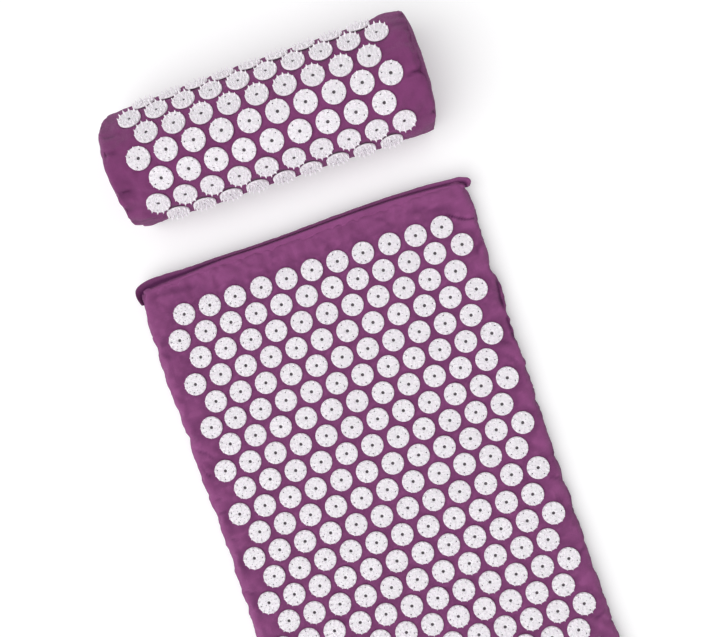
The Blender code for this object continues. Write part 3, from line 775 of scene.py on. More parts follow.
def line_distance(points, path):
    """(distance to a polyline, signed side of it, share along it) of points in the plan."""
    path = np.asarray(path, float)
    best = np.full(points.shape[:-1], FAR)
    sign = np.ones(points.shape[:-1])
    where = np.zeros(points.shape[:-1])
    lengths = np.linalg.norm(np.diff(path, axis=0), axis=1)
    total, done = lengths.sum(), 0.0
    for a, b, length in zip(path, path[1:], lengths):
        d = (b - a) / length
        rel = points[..., :2] - a
        t = np.clip(rel @ d, 0, length)
        gap = rel - t[..., None] * d
        dist = np.hypot(gap[..., 0], gap[..., 1])
        closer = dist < best
        best = np.where(closer, dist, best)
        sign = np.where(closer, np.sign(d[0] * rel[..., 1] - d[1] * rel[..., 0]), sign)
        where = np.where(closer, (done + t) / total, where)
        done += length
    return best, sign, where


# Creases of the top: (points in the plan, depth in mm, width in mm, swelling beside it in mm on the left of the line)
TOP_CREASES = (
    (((0.2055, 0.2592), (0.1937, 0.2616), (0.1846, 0.2661), (0.1777, 0.2708), (0.1726, 0.2748), (0.1650, 0.2774)),
      1.2, 1.4, 0.8),
    (((-0.1959, 0.2967), (-0.1720, 0.2956), (-0.1401, 0.2896), (-0.1122, 0.2891)), 0.5, 5.0, 0.5),
    (((-0.0903, 0.3084), (-0.0305, 0.3058), (0.0293, 0.3052), (0.0990, 0.3076)), 0.15, 2.6, 0.1),
    (((0.0931, 0.2991), (0.1031, 0.2902), (0.1071, 0.2823)), 0.5, 2.6, 0.5),
    (((0.1170, 0.2951), (0.1490, 0.2891), (0.1849, 0.2811)), 0.45, 5.5, 0.6),
    (((0.0193, 0.3003), (0.0293, 0.2883), (0.0333, 0.2804)), 0.4, 3.0, 0.35),
    (((-0.0405, 0.3014), (-0.0365, 0.2904), (-0.0445, 0.2815)), 0.35, 3.2, 0.35),
    (((0.2041, 0.2314), (0.1952, 0.2255), (0.1892, 0.2136)), 0.5, 2.8, 0.4),
    (((-0.2055, 0.2292), (-0.1970, 0.2242), (-0.1911, 0.2143)), 0.4, 3.0, 0.4),
    (((0.2038, 0.1872), (0.2034, 0.1753), (0.2015, 0.1608), (0.2016, 0.1417)), 1.4, 1.9, 0.3),
    (((0.2014, 0.1400), (0.2012, 0.1304), (0.2009, 0.1170), (0.2027, 0.1079)), 1.2, 1.7, 0.3),
    (((0.1988, 0.1049), (0.1864, 0.1130), (0.1777, 0.1150)), 0.6, 2.2, 0.4),
    (((0.1970, 0.0830), (0.1874, 0.0937), (0.1802, 0.1000)), 0.5, 3.0, 0.4),
    (((-0.2025, 0.1056), (-0.1885, 0.0983), (-0.1791, 0.0857)), 0.7, 1.8, 0.5),
    (((-0.1999, 0.0871), (-0.1980, 0.0771), (-0.1911, 0.0667)), 0.9, 1.6, 0.6),
    (((-0.2009, 0.0415), (-0.1890, 0.0403), (-0.1833, 0.0409)), 0.5, 2.0, 0.4),
    (((-0.2014, 0.0240), (-0.1915, 0.0249), (-0.1853, 0.0244)), 0.5, 2.0, 0.4),
    (((-0.1994, -0.0064), (-0.1894, -0.0096), (-0.1821, -0.0120)), 0.7, 1.6, 0.5),
    (((-0.2005, -0.0743), (-0.1885, -0.0783), (-0.1825, -0.0773)), 0.6, 1.9, 0.4),
    (((0.2016, -0.0602), (0.1895, -0.0562), (0.1845, -0.0572)), 0.6, 1.9, 0.4),
    (((-0.1996, -0.1496), (-0.1866, -0.1456), (-0.1806, -0.1497)), 0.7, 1.7, 0.5),
    (((0.2010, -0.1457), (0.1890, -0.1507), (0.1839, -0.1496)), 0.6, 2.0, 0.4),
    (((-0.2008, -0.2352), (-0.1877, -0.2302), (-0.1827, -0.2313)), 0.6, 1.9, 0.5),
    (((0.2024, -0.2212), (0.1873, -0.2273), (0.1823, -0.2262)), 0.7, 1.8, 0.4),
    (((0.0306, -0.3086), (0.0346, -0.2975), (0.0315, -0.2894)), 0.6, 2.0, 0.4),
    (((-0.1063, -0.3072), (-0.1023, -0.2971), (-0.1053, -0.2880)), 0.6, 2.0, 0.4),
)


# How far from a seam its pull fades, and from which pull in mm painted shade darkens the cloth in the valleys that it
# makes
PULL_REACH = 0.0075
VALLEY_FROM = 0.35
# The lowest that any cloth comes, and the height over which it is clear of the floor
FLOOR_CLEARANCE = 0.00005
FLOOR_FADE = 0.004
# Where along the mat the cover begins to be held for the zip, and where it is held fully
MAT_ZIP_ZONE = (0.3045, 0.3080)


def off_floor(height):
    """0 for cloth on the floor, 1 for cloth clear of it."""
    return rise(height, 0.0, FLOOR_FADE)


def pull_in(edge_gap, along, notches, seed):
    """How far the side seam's pull draws the cover in: lumps between notches, fading with the gap from the edge."""
    depth = np.zeros_like(along)
    for place, size in notches:
        width = 0.0065 + 0.0020 * size
        depth += lump(along - place, size * MM, width, 0.45)
    small = 0.22 * MM * along_ripple(along, 0.011, seed)
    return (depth + small) * np.exp(-np.maximum(edge_gap, 0) / PULL_REACH)


def crease_form(points, path, width, start, weak):
    """(groove, swelling beside it) along a path, 0 to 1, with weak as the swelling's share on the line's right."""
    dist, side, share = line_distance(points, path)
    ends = rise(share, 0.0, start) * rise(1 - share, 0.0, 0.35)
    width = width * MM
    return bell(dist, width) * ends, bell(dist - 2.2 * width, 2.4 * width) * ends * np.where(side > 0, 1.0, weak)


def disc_zones(gap):
    """Where the cloth is free of a disc, where it bulges between discs, and where it lies in the margin, 0 to 1."""
    free = rise(gap, DISC_RADIUS - 0.0010, DISC_RADIUS + 0.0045)
    between = rise(gap, DISC_RADIUS - 0.0005, DISC_RADIUS + 0.0030)
    return free, between, rise(gap, DISC_RADIUS + 0.003, DISC_RADIUS + 0.014)


# Dip of the cloth round a disc: depth, distance from the disc's rim, width
DISC_DIP = (0.00035, 0.0004, 0.0013)
# Heights of the covers' puffs between the discs, of their small waves and of their wide waves
MAT_RELIEF = (0.00045, 0.00022, 0.00042)
PILLOW_RELIEF = (0.00050, 0.00024, 0.00070)


def relief(heights, disc, zones, small, wide):
    """How far puffs, waves and the dips round the discs lift the cloth."""
    free, between, margin = zones
    puff, short, long = heights
    depth, gap, width = DISC_DIP
    return (puff * between * (1 - margin) + short * free * small + long * margin * wide
            - depth * bell(disc - DISC_RADIUS - gap, width) * free)


def dress_mat(grid, upper, seed):
    """Adds puffs, puckers, wrinkles and creases to a finer grid. Returns it with painted shade in its valleys,
    troughs, creases, right edge and among the discs, and painted highlight on its left rolled edge, crests and
    swellings.
    """
    g = grid.copy()
    x, y = g[..., 0], g[..., 1]
    gap_left, gap_right = x + through(y, LEFT_SIDE), through(y, RIGHT_SIDE) - x
    gap_foot = y - MAT_FOOT
    crease = np.zeros(x.shape)
    pull_left = pull_in(gap_left, y, LEFT_NOTCHES, seed + 1)
    pull_right = pull_in(gap_right, y, RIGHT_NOTCHES, seed + 2)
    pull_foot = pull_in(gap_foot, x, FOOT_NOTCHES, seed + 3)
    g[..., 0] += pull_left - pull_right
    g[..., 1] += pull_foot
    edge = np.minimum(np.minimum(gap_left, gap_right), gap_foot)
    valley = (pull_left + pull_right + pull_foot) / MM
    # Painted shade in the valleys that the seams' pull makes near the edges.
    crease += 0.22 * np.clip(valley - VALLEY_FROM, 0, 2) * rise(0.016 - edge, 0, 0.01)
    if not upper:
        g[..., 2] += 0.0004 * off_floor(g[..., 2]) * ripple(g[..., :2], 0.03, seed + 5)
        g[..., 2] = np.maximum(g[..., 2], FLOOR_CLEARANCE)
        return g, crease
    top = rise(g[..., 2], 0.0135, 0.0195)
    low = rise(0.300 - y, 0.0, 0.015)
    # Painted shade along the right edge's bend, which turns away from the light.
    crease += 0.60 * bell(gap_right, 0.0016) * low
    rolled = 0.75 + 0.25 * along_ripple(y, 0.045, seed + 10)
    # Painted highlight on the left rolled edge, which faces the light, and painted shade in the valley inside it.
    crease -= 0.45 * bell(gap_left - 0.0048, 0.0036) * low * rolled
    crease += 0.28 * bell(gap_left - 0.0140, 0.0048) * low * rolled
    g[..., 2] -= 0.0006 * bell(gap_left - 0.0140, 0.0050) * low * rolled * top
    disc = nearest_disc(g)
    free, _, margin = zones = disc_zones(disc)
    small, wide = ripple(g[..., :2], 0.013, seed + 6), ripple(g[..., :2], 0.045, seed + 7)
    lift = relief(MAT_RELIEF, disc, zones, small, wide)
    lift += 0.00016 * margin * ripple(g[..., :2] * np.array([1.0, 0.35]), 0.012, seed + 8)
    side_fold = rise(0.034 - np.minimum(gap_left, gap_right), 0, 0.02) * margin
    lift += 0.00045 * side_fold * ripple(np.stack([x * 0.2, y], -1), 0.019, seed + 9)
    # Painted shade in the troughs of the wide waves and on the cloth among the discs, where their shadows fall, and
    # painted highlight on the crests of the small waves.
    crease += 0.20 * np.clip(-wide - 0.6, 0, 1) * margin
    crease -= 0.25 * np.clip(small - 0.5, 0, 1) * free
    crease += 0.32 * (1 - margin)
    for path, depth, width, swell in TOP_CREASES:
        core, beside = crease_form(g, path, width, 0.12, 0.25)
        keep = free * 0.8 + 0.2
        lift += MM * (swell * beside - depth * core) * keep
        # Painted shade in each crease and painted highlight on the swelling beside it.
        crease += (0.75 * depth * core - 0.25 * swell * beside) * keep
    g[..., 2] += lift * top
    g[..., 2] -= 0.0018 * rise(y, 0.3035, 0.3085) * top
    return g, crease


CLOTH_SETTINGS = dict(quality=5, mass=0.12, tension_stiffness=25, compression_stiffness=12, shear_stiffness=6,
                      bending_stiffness=0.08, use_pressure=True)
CLOTH_FRAMES = 20


def cloth_sim(name, points, faces, held, pressure, cap, excess):
    """Swells a cloth body by Blender's Cloth and gives back its points, none moved by more than cap.

    held is how firmly each point is held, 0 to 1. excess is how much longer the cloth is than its shape.
    """
    obj = link_mesh(name, points, faces, COTTON)
    mesh = obj.data
    group = obj.vertex_groups.new(name="held")
    for level in np.unique(np.round(held, 1)):
        ids = np.nonzero(np.round(held, 1) == level)[0].tolist()
        if level > 0:
            group.add(ids, float(level), "REPLACE")
    cloth = obj.modifiers.new("cloth", "CLOTH")
    settings = dict(CLOTH_SETTINGS, uniform_pressure_force=pressure, vertex_group_mass="held", shrink_min=-excess)
    for key, value in settings.items():
        setattr(cloth.settings, key, value)
    cloth.settings.effector_weights.gravity = 0
    cloth.collision_settings.use_collision = False
    cloth.point_cache.frame_start = 1
    cloth.point_cache.frame_end = CLOTH_FRAMES
    for number in range(1, CLOTH_FRAMES + 1):
        bpy.context.scene.frame_set(number)
    graph = bpy.context.evaluated_depsgraph_get()
    swollen = np.empty(len(points) * 3)
    obj.evaluated_get(graph).data.vertices.foreach_get("co", swollen)
    move = swollen.reshape(-1, 3) - points
    size = np.linalg.norm(move, axis=1, keepdims=True)
    move *= np.minimum(1, cap / np.maximum(size, 1e-9))
    obj.modifiers.clear()
    bpy.data.objects.remove(obj)
    bpy.data.meshes.remove(mesh)
    bpy.context.scene.frame_set(1)
    return points + move


def under_discs(gap):
    return 1 - rise(gap, DISC_RADIUS - 0.001, DISC_RADIUS + 0.0035)


def rim_of(rows, columns):
    rim = np.zeros((rows, columns), bool)
    rim[0] = rim[-1] = rim[:, 0] = rim[:, -1] = True
    return rim


def joined_halves(rows, columns):
    """Faces of the cover's two halves as one closed body, and the numbers of the rim's points in the upper one."""
    ids = np.arange(rows * columns).reshape(rows, columns)
    rim = ids[rim_of(rows, columns)]
    swap = np.arange(2 * ids.size)
    swap[rim + ids.size] = rim
    faces = grid_faces(rows, columns)
    return swap[np.concatenate([faces, faces[:, ::-1] + ids.size])], rim


def simulate_mat(top, base):
    """Both halves of the cover as one closed cloth body, held under the discs, along the zip and on the floor."""
    points = np.concatenate([top.reshape(-1, 3), base.reshape(-1, 3)])
    half = len(points) // 2
    faces, rim = joined_halves(*top.shape[:2])
    upper = np.arange(len(points)) < half
    held = np.where(upper, under_discs(nearest_disc(points)), 1 - off_floor(points[:, 2]))
    held = np.maximum(held, rise(points[:, 1], *MAT_ZIP_ZONE))
    used, new_id = renumbered(len(points), faces)
    out = points.copy()
    out[used] = cloth_sim("mat_cloth", points[used], new_id[faces].tolist(), held[used], pressure=5.0, cap=0.0022,
                          excess=0.022)
    out[rim + half] = out[rim] + (points[rim + half] - points[rim])
    return out[:half].reshape(top.shape), out[half:].reshape(top.shape)


def add_mat_cover():
    top, cloth = mat_grid(True)
    base, _ = mat_grid(False)
    top, base = simulate_mat(top, base)
    cloth = finer(finer(cloth, 0), 1)
    window = mat_window()
    for part, upper, seed, grid, material, slot in (
            ("top", True, 40, top, COTTON, "purple_cotton"),
            ("base", False, 80, base, UNDERSIDE, "purple_cotton_underside")):
        fine, crease = dress_mat(finer(finer(grid, 0), 1), upper, seed)
        edge = rim_of(*fine.shape[:2]).astype(float)
        fine += unit(-fine * np.array([1.0, 1.0, 0.0])) * (edge * SEAM_GROOVE)[..., None]
        # Painted shade along the seam groove at the rim.
        crease += 0.6 * edge
        # Dark grey painted under the discs on the top, seen through their holes, standing partly for their shade.
        glue = (1 - rise(nearest_disc(fine), *HOLE_DARK_REACH)) * upper
        faces = grid_faces(*fine.shape[:2], keep=~window)
        if not upper:
            faces = faces[:, ::-1]
        obj = add_mesh(f"mat_cover_{part}_fabric", fine.reshape(-1, 3), faces, material, cloth=cloth.reshape(-1, 3),
                       crease=crease.ravel(), glue=glue.ravel())
        thicken(obj, CLOTH)
        dress(obj, "mat", slot, f"mat_cover_{part}")


add_mat_cover()


# Pillow cover, in the pillow's own frame: a ring of points round the section at each station along it
ARC_CELLS = 44
BASE_CELLS = 24
CORNER_CELLS = 3
PILLOW_ZIP_REACH = 0.1613
ZIP_WINDOW_EDGES = (0.0257, 0.0153)
PILLOW_CELLS = 64
END_BEND_CELLS = 4
END_SHARES = (0.03, 0.08, 0.16, 0.30, 0.50, 0.72, 0.92)
END_MIDDLE = (0.0, 0.0400)
END_MIDDLE_HELD = 0.6
# The least share that tells an end panel from the body, and the columns of the finer grid that the zip's window takes
# on each side of the rear seam
LEAST_END_SHARE = 0.002
WINDOW_COLUMNS = 4
# Points with more than this in y are on the pillow's rear
PILLOW_REAR = 0.06
# Along the arch in metres from its top, and size in mm, of the places where the end seams are drawn in
END_NOTCHES = {-1: ((0.0070, 1.5), (-0.0205, 0.7), (-0.0375, 1.5), (-0.058, 0.9), (-0.080, 1.3), (0.0280, 0.7),
                    (0.0520, 1.2), (0.0760, 0.9), (0.0980, 1.3)),
               1: ((0.0135, 0.7), (-0.0020, 1.0), (-0.0160, 2.4), (-0.0400, 0.6), (-0.0640, 1.0), (-0.0860, 1.2),
                   (0.0370, 0.7), (0.0620, 1.0), (0.0850, 1.2))}
# Creases of the arch: (points as x and place along the arch, depth in mm, width in mm, swelling beside it in mm)
PILLOW_CREASES = (
    (((0.1785, -0.0160), (0.1700, -0.0150), (0.1620, -0.0165), (0.1560, -0.0160)), 0.9, 1.5, 0.7),
    (((-0.1780, 0.0080), (-0.1710, 0.0060), (-0.1640, 0.0065)), 0.7, 1.8, 0.5),
    (((-0.1780, -0.0370), (-0.1700, -0.0365), (-0.1630, -0.0390)), 0.7, 1.8, 0.5),
    (((-0.1780, 0.0300), (-0.1700, 0.0270), (-0.1620, 0.0280)), 0.5, 2.4, 0.4),
    (((-0.1770, -0.0830), (-0.1690, -0.0790), (-0.1600, -0.0800), (-0.1500, -0.0830)), 0.9, 1.8, 0.8),
    (((0.1770, 0.0450), (0.1680, 0.0480), (0.1580, 0.0470)), 0.5, 3.0, 0.4),
)


def pillow_tuck(z):
    """How far the front wall has come in towards the foot at that height."""
    return PILLOW_FRONT_TUCK * min(max((PILLOW_AXIS - z) / (PILLOW_AXIS - PILLOW_CORNER), 0), 1)


def pillow_section(inset):
    """(y, z) round the section from the front seam over the arch, and the number of the rear seam's point."""
    reach = PILLOW_RADIUS - inset
    middle, corner = PILLOW_RADIUS - PILLOW_CORNER, PILLOW_CORNER - inset
    points = []
    for z in (PILLOW_FRONT_SEAM, 0.0130, 0.0185, 0.0240, 0.0295):
        points.append((pillow_tuck(z) - reach, z))
    for k in range(ARC_CELLS + 1):
        angle = math.pi * (k / ARC_CELLS - 0.5)
        points.append((reach * math.sin(angle), PILLOW_AXIS + reach * math.cos(angle)))
    points += [(reach, z) for z in (0.0304, ZIP_WINDOW_EDGES[0], 0.0215, PILLOW_ZIP_HEIGHT)]
    rear = len(points) - 1
    points += [(reach, z) for z in (0.0195, ZIP_WINDOW_EDGES[1], 0.0116)]
    turns = [math.pi / 2 * k / CORNER_CELLS for k in range(CORNER_CELLS + 1)]
    points += [(middle + corner * math.cos(t), PILLOW_CORNER - corner * math.sin(t)) for t in turns]
    front = PILLOW_FRONT_TUCK - middle
    points += [(middle + (front - middle) * k / BASE_CELLS, inset) for k in range(1, BASE_CELLS)]
    points += [(front - corner * math.cos(t), PILLOW_CORNER - corner * math.sin(t)) for t in reversed(turns)]
    points.append((pillow_tuck(0.0110) - reach, 0.0110))
    return np.array(points), rear


def pillow_stations():
    """(x, inset, share of the end panel, side) from one end's middle to the other's, and the two seams' rows."""
    inner = np.linspace(-PILLOW_ZIP_REACH, PILLOW_ZIP_REACH, PILLOW_CELLS + 1)
    straight = PILLOW_END_SEAM - PILLOW_END_BEND
    half = [(x, 0.0, 0.0) for x in ((PILLOW_ZIP_REACH + straight) / 2, straight)]
    for k in range(1, END_BEND_CELLS + 1):
        turn = math.pi / 2 * k / END_BEND_CELLS
        half.append((straight + PILLOW_END_BEND * math.sin(turn), PILLOW_END_DRAW_IN * (1 - math.cos(turn)), 0.0))
    for share in END_SHARES:
        half.append((PILLOW_END_SEAM + PILLOW_END_DOME * (1 - (1 - share) ** 10), PILLOW_END_DRAW_IN, share))
    rows = [(-x, inset, share, -1) for x, inset, share in reversed(half)]
    rows += [(x, 0.0, 0.0, 0) for x in inner]
    rows += [(x, inset, share, 1) for x, inset, share in half]
    seam = len(END_SHARES)
    return np.array(rows), (seam, len(rows) - 1 - seam)


def pillow_grid():
    """The cover's closed form as a grid (stations, ring), its stations, seams, and each column's place on the arch."""
    rows, seams = pillow_stations()
    outline, rear = pillow_section(0.0)
    steps = np.linalg.norm(np.diff(outline, axis=0), axis=1)
    along = np.concatenate([[0], np.cumsum(steps)])
    top = int(np.argmax(outline[:, 1]))
    along -= along[top]
    middle = np.array(END_MIDDLE)
    grid = []
    for x, inset, share, _ in rows:
        ring, _ = pillow_section(inset)
        ring = middle + (ring - middle) * (1 - share)
        grid.append(np.column_stack([np.full(len(ring), x), ring]))
    return np.array(grid), rows, seams, rear, along


# Round the section: (angle from the top in degrees, mm that the cloth stands out of the round)
PILLOW_FORM = ((-125.0, 0.0), (-105.0, -3.2), (-90.0, -4.2), (-82.0, -1.6), (-74.0, 0.7), (-66.0, 1.8),
               (-49.0, 2.0), (-29.0, 1.8), (-8.0, 0.0), (15.0, -2.4), (38.0, -2.3), (58.0, -1.6), (72.0, -1.0),
               (90.0, -0.4), (105.0, 0.0))


# Dents at its corners: (depth, side, place along the pillow where it starts, angle of its middle, its spread)
CORNER_DENTS = ((0.0026, -1, 0.154, 72, 27), (0.0030, 1, 0.150, -78, 22), (0.0020, -1, 0.150, -78, 22))
CORNER_END = 0.178
# Where the ends' own form sets in along the pillow
END_ZONE = (0.1635, 0.1770)


def off_round(x, angle):
    """How far the pillow stands out of the round, at a place along it and an angle from the top in degrees."""
    rear = rise(angle, 14, 44) * (1 - rise(angle, 95, 125))
    return (MM * through(angle, PILLOW_FORM) + 0.0034 * np.clip((x + 0.17) / 0.22, 0, 1) * rear
            + 0.0028 * rise(x, 0.110, 0.176) * bell(angle - 72, 24))


def shape_corners(grid, share):
    """What the photo shows of the ends: the rear left corner rounded off, the rear right one full."""
    g = grid.copy()
    x, y, z = g[..., 0], g[..., 1], g[..., 2]
    angle = np.degrees(np.arctan2(y, z - PILLOW_AXIS))
    out = np.stack([0 * x, np.sin(np.radians(angle)), np.cos(np.radians(angle))], -1)
    fade = (1 - share) * rise(z, np.where(y > 0, 0.026, 0.018), np.where(y > 0, 0.040, 0.038))
    radial = off_round(x, angle)
    for depth, side, start, place, spread in CORNER_DENTS:
        radial = radial - depth * rise(side * x, start, CORNER_END) * bell(angle - place, spread)
    g += out * (radial * fade)[..., None]
    left, right = (rise(side * x, *END_ZONE) for side in (-1, 1))
    g[..., 0] += 0.0018 * left * bell(angle - 66, 24) * (1 - share) + 0.0010 * right
    g[..., 0] -= left * (0.0046 + 0.0026 * bell(angle + 80, 34))
    return g


def add_discs():
    for row, centres in enumerate(mat_disc_centres()):
        places = [Matrix.Translation((x, y, MAT_THICKNESS + DISC_SEAT)) for x, y in centres]
        add_disc_row(f"mat_spiked_discs_{row + 1:02d}", places, "mat", f"mat_discs_row_{row + 1:02d}")
    seat = PILLOW_RADIUS + DISC_SEAT
    for row, centres in enumerate(pillow_disc_centres()):
        places = []
        for x, angle in centres:
            before, here, after = (float(off_round(x, math.degrees(angle) + turn)) for turn in (-6, 0, 6))
            out = seat + here
            facing = angle - (after - before) / (out * math.radians(12))
            spot = Vector((x, out * math.sin(angle), PILLOW_AXIS + out * math.cos(angle)))
            places.append(PILLOW_MATRIX @ Matrix.Translation(spot) @ Matrix.Rotation(-facing, 4, "X"))
        add_disc_row(f"pillow_spiked_discs_{row + 1}", places, "pillow", f"pillow_discs_row_{row + 1}")


add_discs()


def pillow_disc_gap(x, along):
    """The same on the pillow, from the place along it and the place round its section."""
    return nearest(x, along, [(cx, angle * PILLOW_RADIUS) for row in pillow_disc_centres() for cx, angle in row])


def near_pillow_zip(points, across, along):
    """1 round the pillow's zip, 0 away from it, fading over a band across it and a band along it."""
    x, y, z = (points[..., k] for k in range(3))
    return (1 - rise(abs(z - PILLOW_ZIP_HEIGHT), *across)) * (y > PILLOW_REAR) * (1 - rise(abs(x), *along))


def simulate_pillow(grid, along):
    """The whole cover as one closed cloth body, held under the discs, along the zip and on the floor."""
    x, y, z = (grid[..., k] for k in range(3))
    held = under_discs(pillow_disc_gap(x, along[None] + 0 * x))
    held = np.maximum(held, 1 - off_floor(z))
    held = np.maximum(held, 0.8 * (y < 0) * (1 - rise(z, 0.040, 0.056)))
    held = np.maximum(held, near_pillow_zip(grid, (0.0065, 0.0100), (0.164, 0.172)))
    held = np.append(held.ravel(), [END_MIDDLE_HELD] * 2)
    moved = cloth_sim("pillow_cloth", with_middles(grid), closed_faces(*grid.shape[:2]), held, pressure=6.0,
                      cap=0.0024, excess=0.02)
    return moved[:-2].reshape(grid.shape)


def calm_ends(moved, grid, share):
    """Leaves the end panels only waves that are wide enough for the ring that they run round."""
    waves = np.fft.rfft(moved - grid, axis=1)
    number = np.arange(waves.shape[1])[None, :, None]
    most = (1.2 + 26 * (1 - share) ** 3)[:, None, None]
    keep = np.where(share[:, None, None] > 0, np.exp(-(number / most) ** 2), 1.0)
    return grid + np.fft.irfft(waves * keep, n=grid.shape[1], axis=1)


def dress_pillow(fine, share, along, seams, rear):
    """Puffs between the discs, wrinkles, creases and drawn-in seams on the finer grid, with painted shade in their
    troughs, valleys, creases and seams, painted highlight on crests and swellings, and the dark grey painted under the
    discs.
    """
    out = -ring_normals(fine)
    x = fine[..., 0]
    s = along[None] + 0 * x
    place = np.stack([x, s], -1)
    on_body = share < 0.001
    on_arch = on_body * (np.arange(len(along)) < rear)[None]
    disc = np.where(on_arch, pillow_disc_gap(x, s), FAR)
    free, _, margin = zones = disc_zones(disc)
    wide, small = ripple(fine, 0.050, 211), ripple(fine, 0.014, 212)
    lift = relief(PILLOW_RELIEF, disc, zones, small, wide)
    # Painted shade in the troughs of the wide waves and painted highlight on the crests of the small ones.
    crease = 0.22 * np.clip(-wide - 0.5, 0, 1) * margin - 0.22 * np.clip(small - 0.5, 0, 1) * free
    move = out * lift[..., None]
    for side in (-1, 1):
        gap = np.maximum(PILLOW_END_SEAM - side * x, 0)
        near = np.exp(-gap / PULL_REACH) * on_body + np.exp(-share / 0.06) * ~on_body * (side * x > 0)
        pull = 0.24 * along_ripple(s, 0.012, 220 + side)
        for spot, size in END_NOTCHES[side]:
            pull = pull + lump(s - spot, size, 0.0045 + 0.0015 * size, 0.4)
        move[..., 0] -= side * MM * pull * near
        move -= out * (0.55 * MM * pull * near)[..., None]
        # Painted shade in the valleys of the drawn-in end seams.
        crease += 0.30 * np.clip(pull - VALLEY_FROM, 0, 2) * near
    for path, depth, width, swell in PILLOW_CREASES:
        core, beside = (form * on_arch for form in crease_form(place, path, width, 0.10, 0.3))
        move += out * (MM * (swell * beside - depth * core) * free)[..., None]
        # Painted shade in each crease and painted highlight on the swelling beside it.
        crease += 0.75 * depth * core - 0.2 * swell * beside
    off_zip = 1 - near_pillow_zip(fine, (0.0062, 0.0095), (0.163, 0.170))
    move *= (off_floor(fine[..., 2]) * off_zip)[..., None]
    seam = np.zeros(x.shape)
    seam[list(seams)] = 1
    seam[:, 0] = seam[:, rear] = on_body[:, 0]
    in_window = (abs(x) < PILLOW_ZIP_REACH + 1e-6) & (np.arange(len(along)) == rear)[None]
    seam = np.where(in_window, 0, seam)
    move -= out * (seam * 0.0006)[..., None]
    # Painted shade along the seams.
    crease += 0.55 * seam
    done = fine + move
    done[..., 2] = np.maximum(done[..., 2], FLOOR_CLEARANCE)
    # The last value is the dark grey painted under the discs, seen through their holes and standing partly for their
    # shade.
    return done, crease, 1 - rise(disc, *HOLE_DARK_REACH)


def add_pillow_cover():
    grid, rows, seams, rear, along = pillow_grid()
    grid = shape_corners(grid, rows[:, 2][:, None])
    grid = calm_ends(simulate_pillow(grid, along), grid, rows[:, 2])
    fine = finer(finer(grid, 0), 1, closed=True)
    seams, rear = (2 * seams[0], 2 * seams[1]), 2 * rear
    stations = np.arange(len(fine))[:, None]
    on_ends = (stations < seams[0]) | (stations > seams[1])
    share = finer(rows[:, 2][:, None], 0) + 0 * fine[..., 0]
    share = np.where(on_ends, np.maximum(share, LEAST_END_SHARE), 0)
    long = np.append(along, 2 * along[-1] - along[-2])
    along = np.interp(np.arange(2 * len(along)) / 2, np.arange(len(long)), long)
    fine, crease, glue = dress_pillow(fine, share, along, seams, rear)
    count, ring = fine.shape[:2]
    cloth = np.stack([fine[..., 0], along[None] + 0 * fine[..., 0], 0 * fine[..., 0]], -1)
    end_cloth = fine[..., [1, 2, 0]] * np.array([1, 1, 0])
    points = in_frame(with_middles(fine), PILLOW_MATRIX)
    quads = grid_faces(count, ring, closed=True)[:, ::-1].reshape(count - 1, ring, 4)
    x = fine[:, 0, 0]
    inside = abs(x) <= PILLOW_ZIP_REACH + 1e-5
    rows_open = (inside[:-1] & inside[1:])[:, None]
    columns = np.arange(ring)
    columns_open = (columns >= rear - WINDOW_COLUMNS) & (columns < rear + WINDOW_COLUMNS)
    window = rows_open & columns_open[None]
    body = np.zeros((count - 1, ring), bool)
    body[seams[0]: seams[1]] = True
    left, right = end_fans(count, ring)
    arch = quads[body & ~window & (columns < rear)[None]]
    base = quads[body & ~window & (columns >= rear)[None]]
    left = quads[: seams[0]].reshape(-1, 4).tolist() + left
    right = quads[seams[1]:].reshape(-1, 4).tolist() + right
    for part, faces, threads, material, slot in (
            ("arch", arch, cloth, PILLOW_COTTON, "purple_cotton"),
            ("base", base, cloth, UNDERSIDE, "purple_cotton_underside"),
            ("end_left", left, end_cloth, PILLOW_COTTON, "purple_cotton"),
            ("end_right", right, end_cloth, PILLOW_COTTON, "purple_cotton")):
        panel = add_mesh(f"pillow_cover_{part}_fabric", points, faces, material, cloth=with_middles(threads),
                         crease=with_middles(crease), glue=with_middles(glue))
        thicken(panel, CLOTH)
        dress(panel, "pillow", slot, f"pillow_cover_{part}")


add_pillow_cover()


# Foams, a little smaller than the covers that hold them
MAT_FOAM_SHARE = (0.962, 0.983, 0.70)
PILLOW_FOAM_SHARE = (0.965, 0.948, 0.946)
PILLOW_FOAM_REAR = 0.0659


def add_foams():
    top, _ = mat_grid(True)
    base, _ = mat_grid(False)
    middle = np.array([0, 0, MAT_THICKNESS / 2])
    faces, rim = joined_halves(*top.shape[:2])
    points = np.concatenate([top.reshape(-1, 3), base.reshape(-1, 3)])
    points = middle + (points - middle) * MAT_FOAM_SHARE
    points[:, 2] += 0.00016 * ripple(points, 0.02, 301) * (abs(points[:, 2] - middle[2]) > 0.005)
    points[rim, 2] = middle[2]
    pad = add_mesh("mat_foam", points, faces, FOAM)
    dress(pad, "mat", "cream_foam", "mat_foam_pad")

    grid, rows, _, _, _ = pillow_grid()
    grid = shape_corners(grid, rows[:, 2][:, None])
    middle = np.array([0, *END_MIDDLE])
    core = middle + (with_middles(grid) - middle) * PILLOW_FOAM_SHARE
    core += 0.0002 * ripple(core, 0.03, 302)[:, None] * unit(core - middle)
    core[:, 1] = np.minimum(core[:, 1], PILLOW_FOAM_REAR)
    block = add_mesh("pillow_foam", in_frame(core, PILLOW_MATRIX), closed_faces(*grid.shape[:2]), FOAM)
    dress(block, "pillow", "cream_foam", "pillow_foam_core")


add_foams()


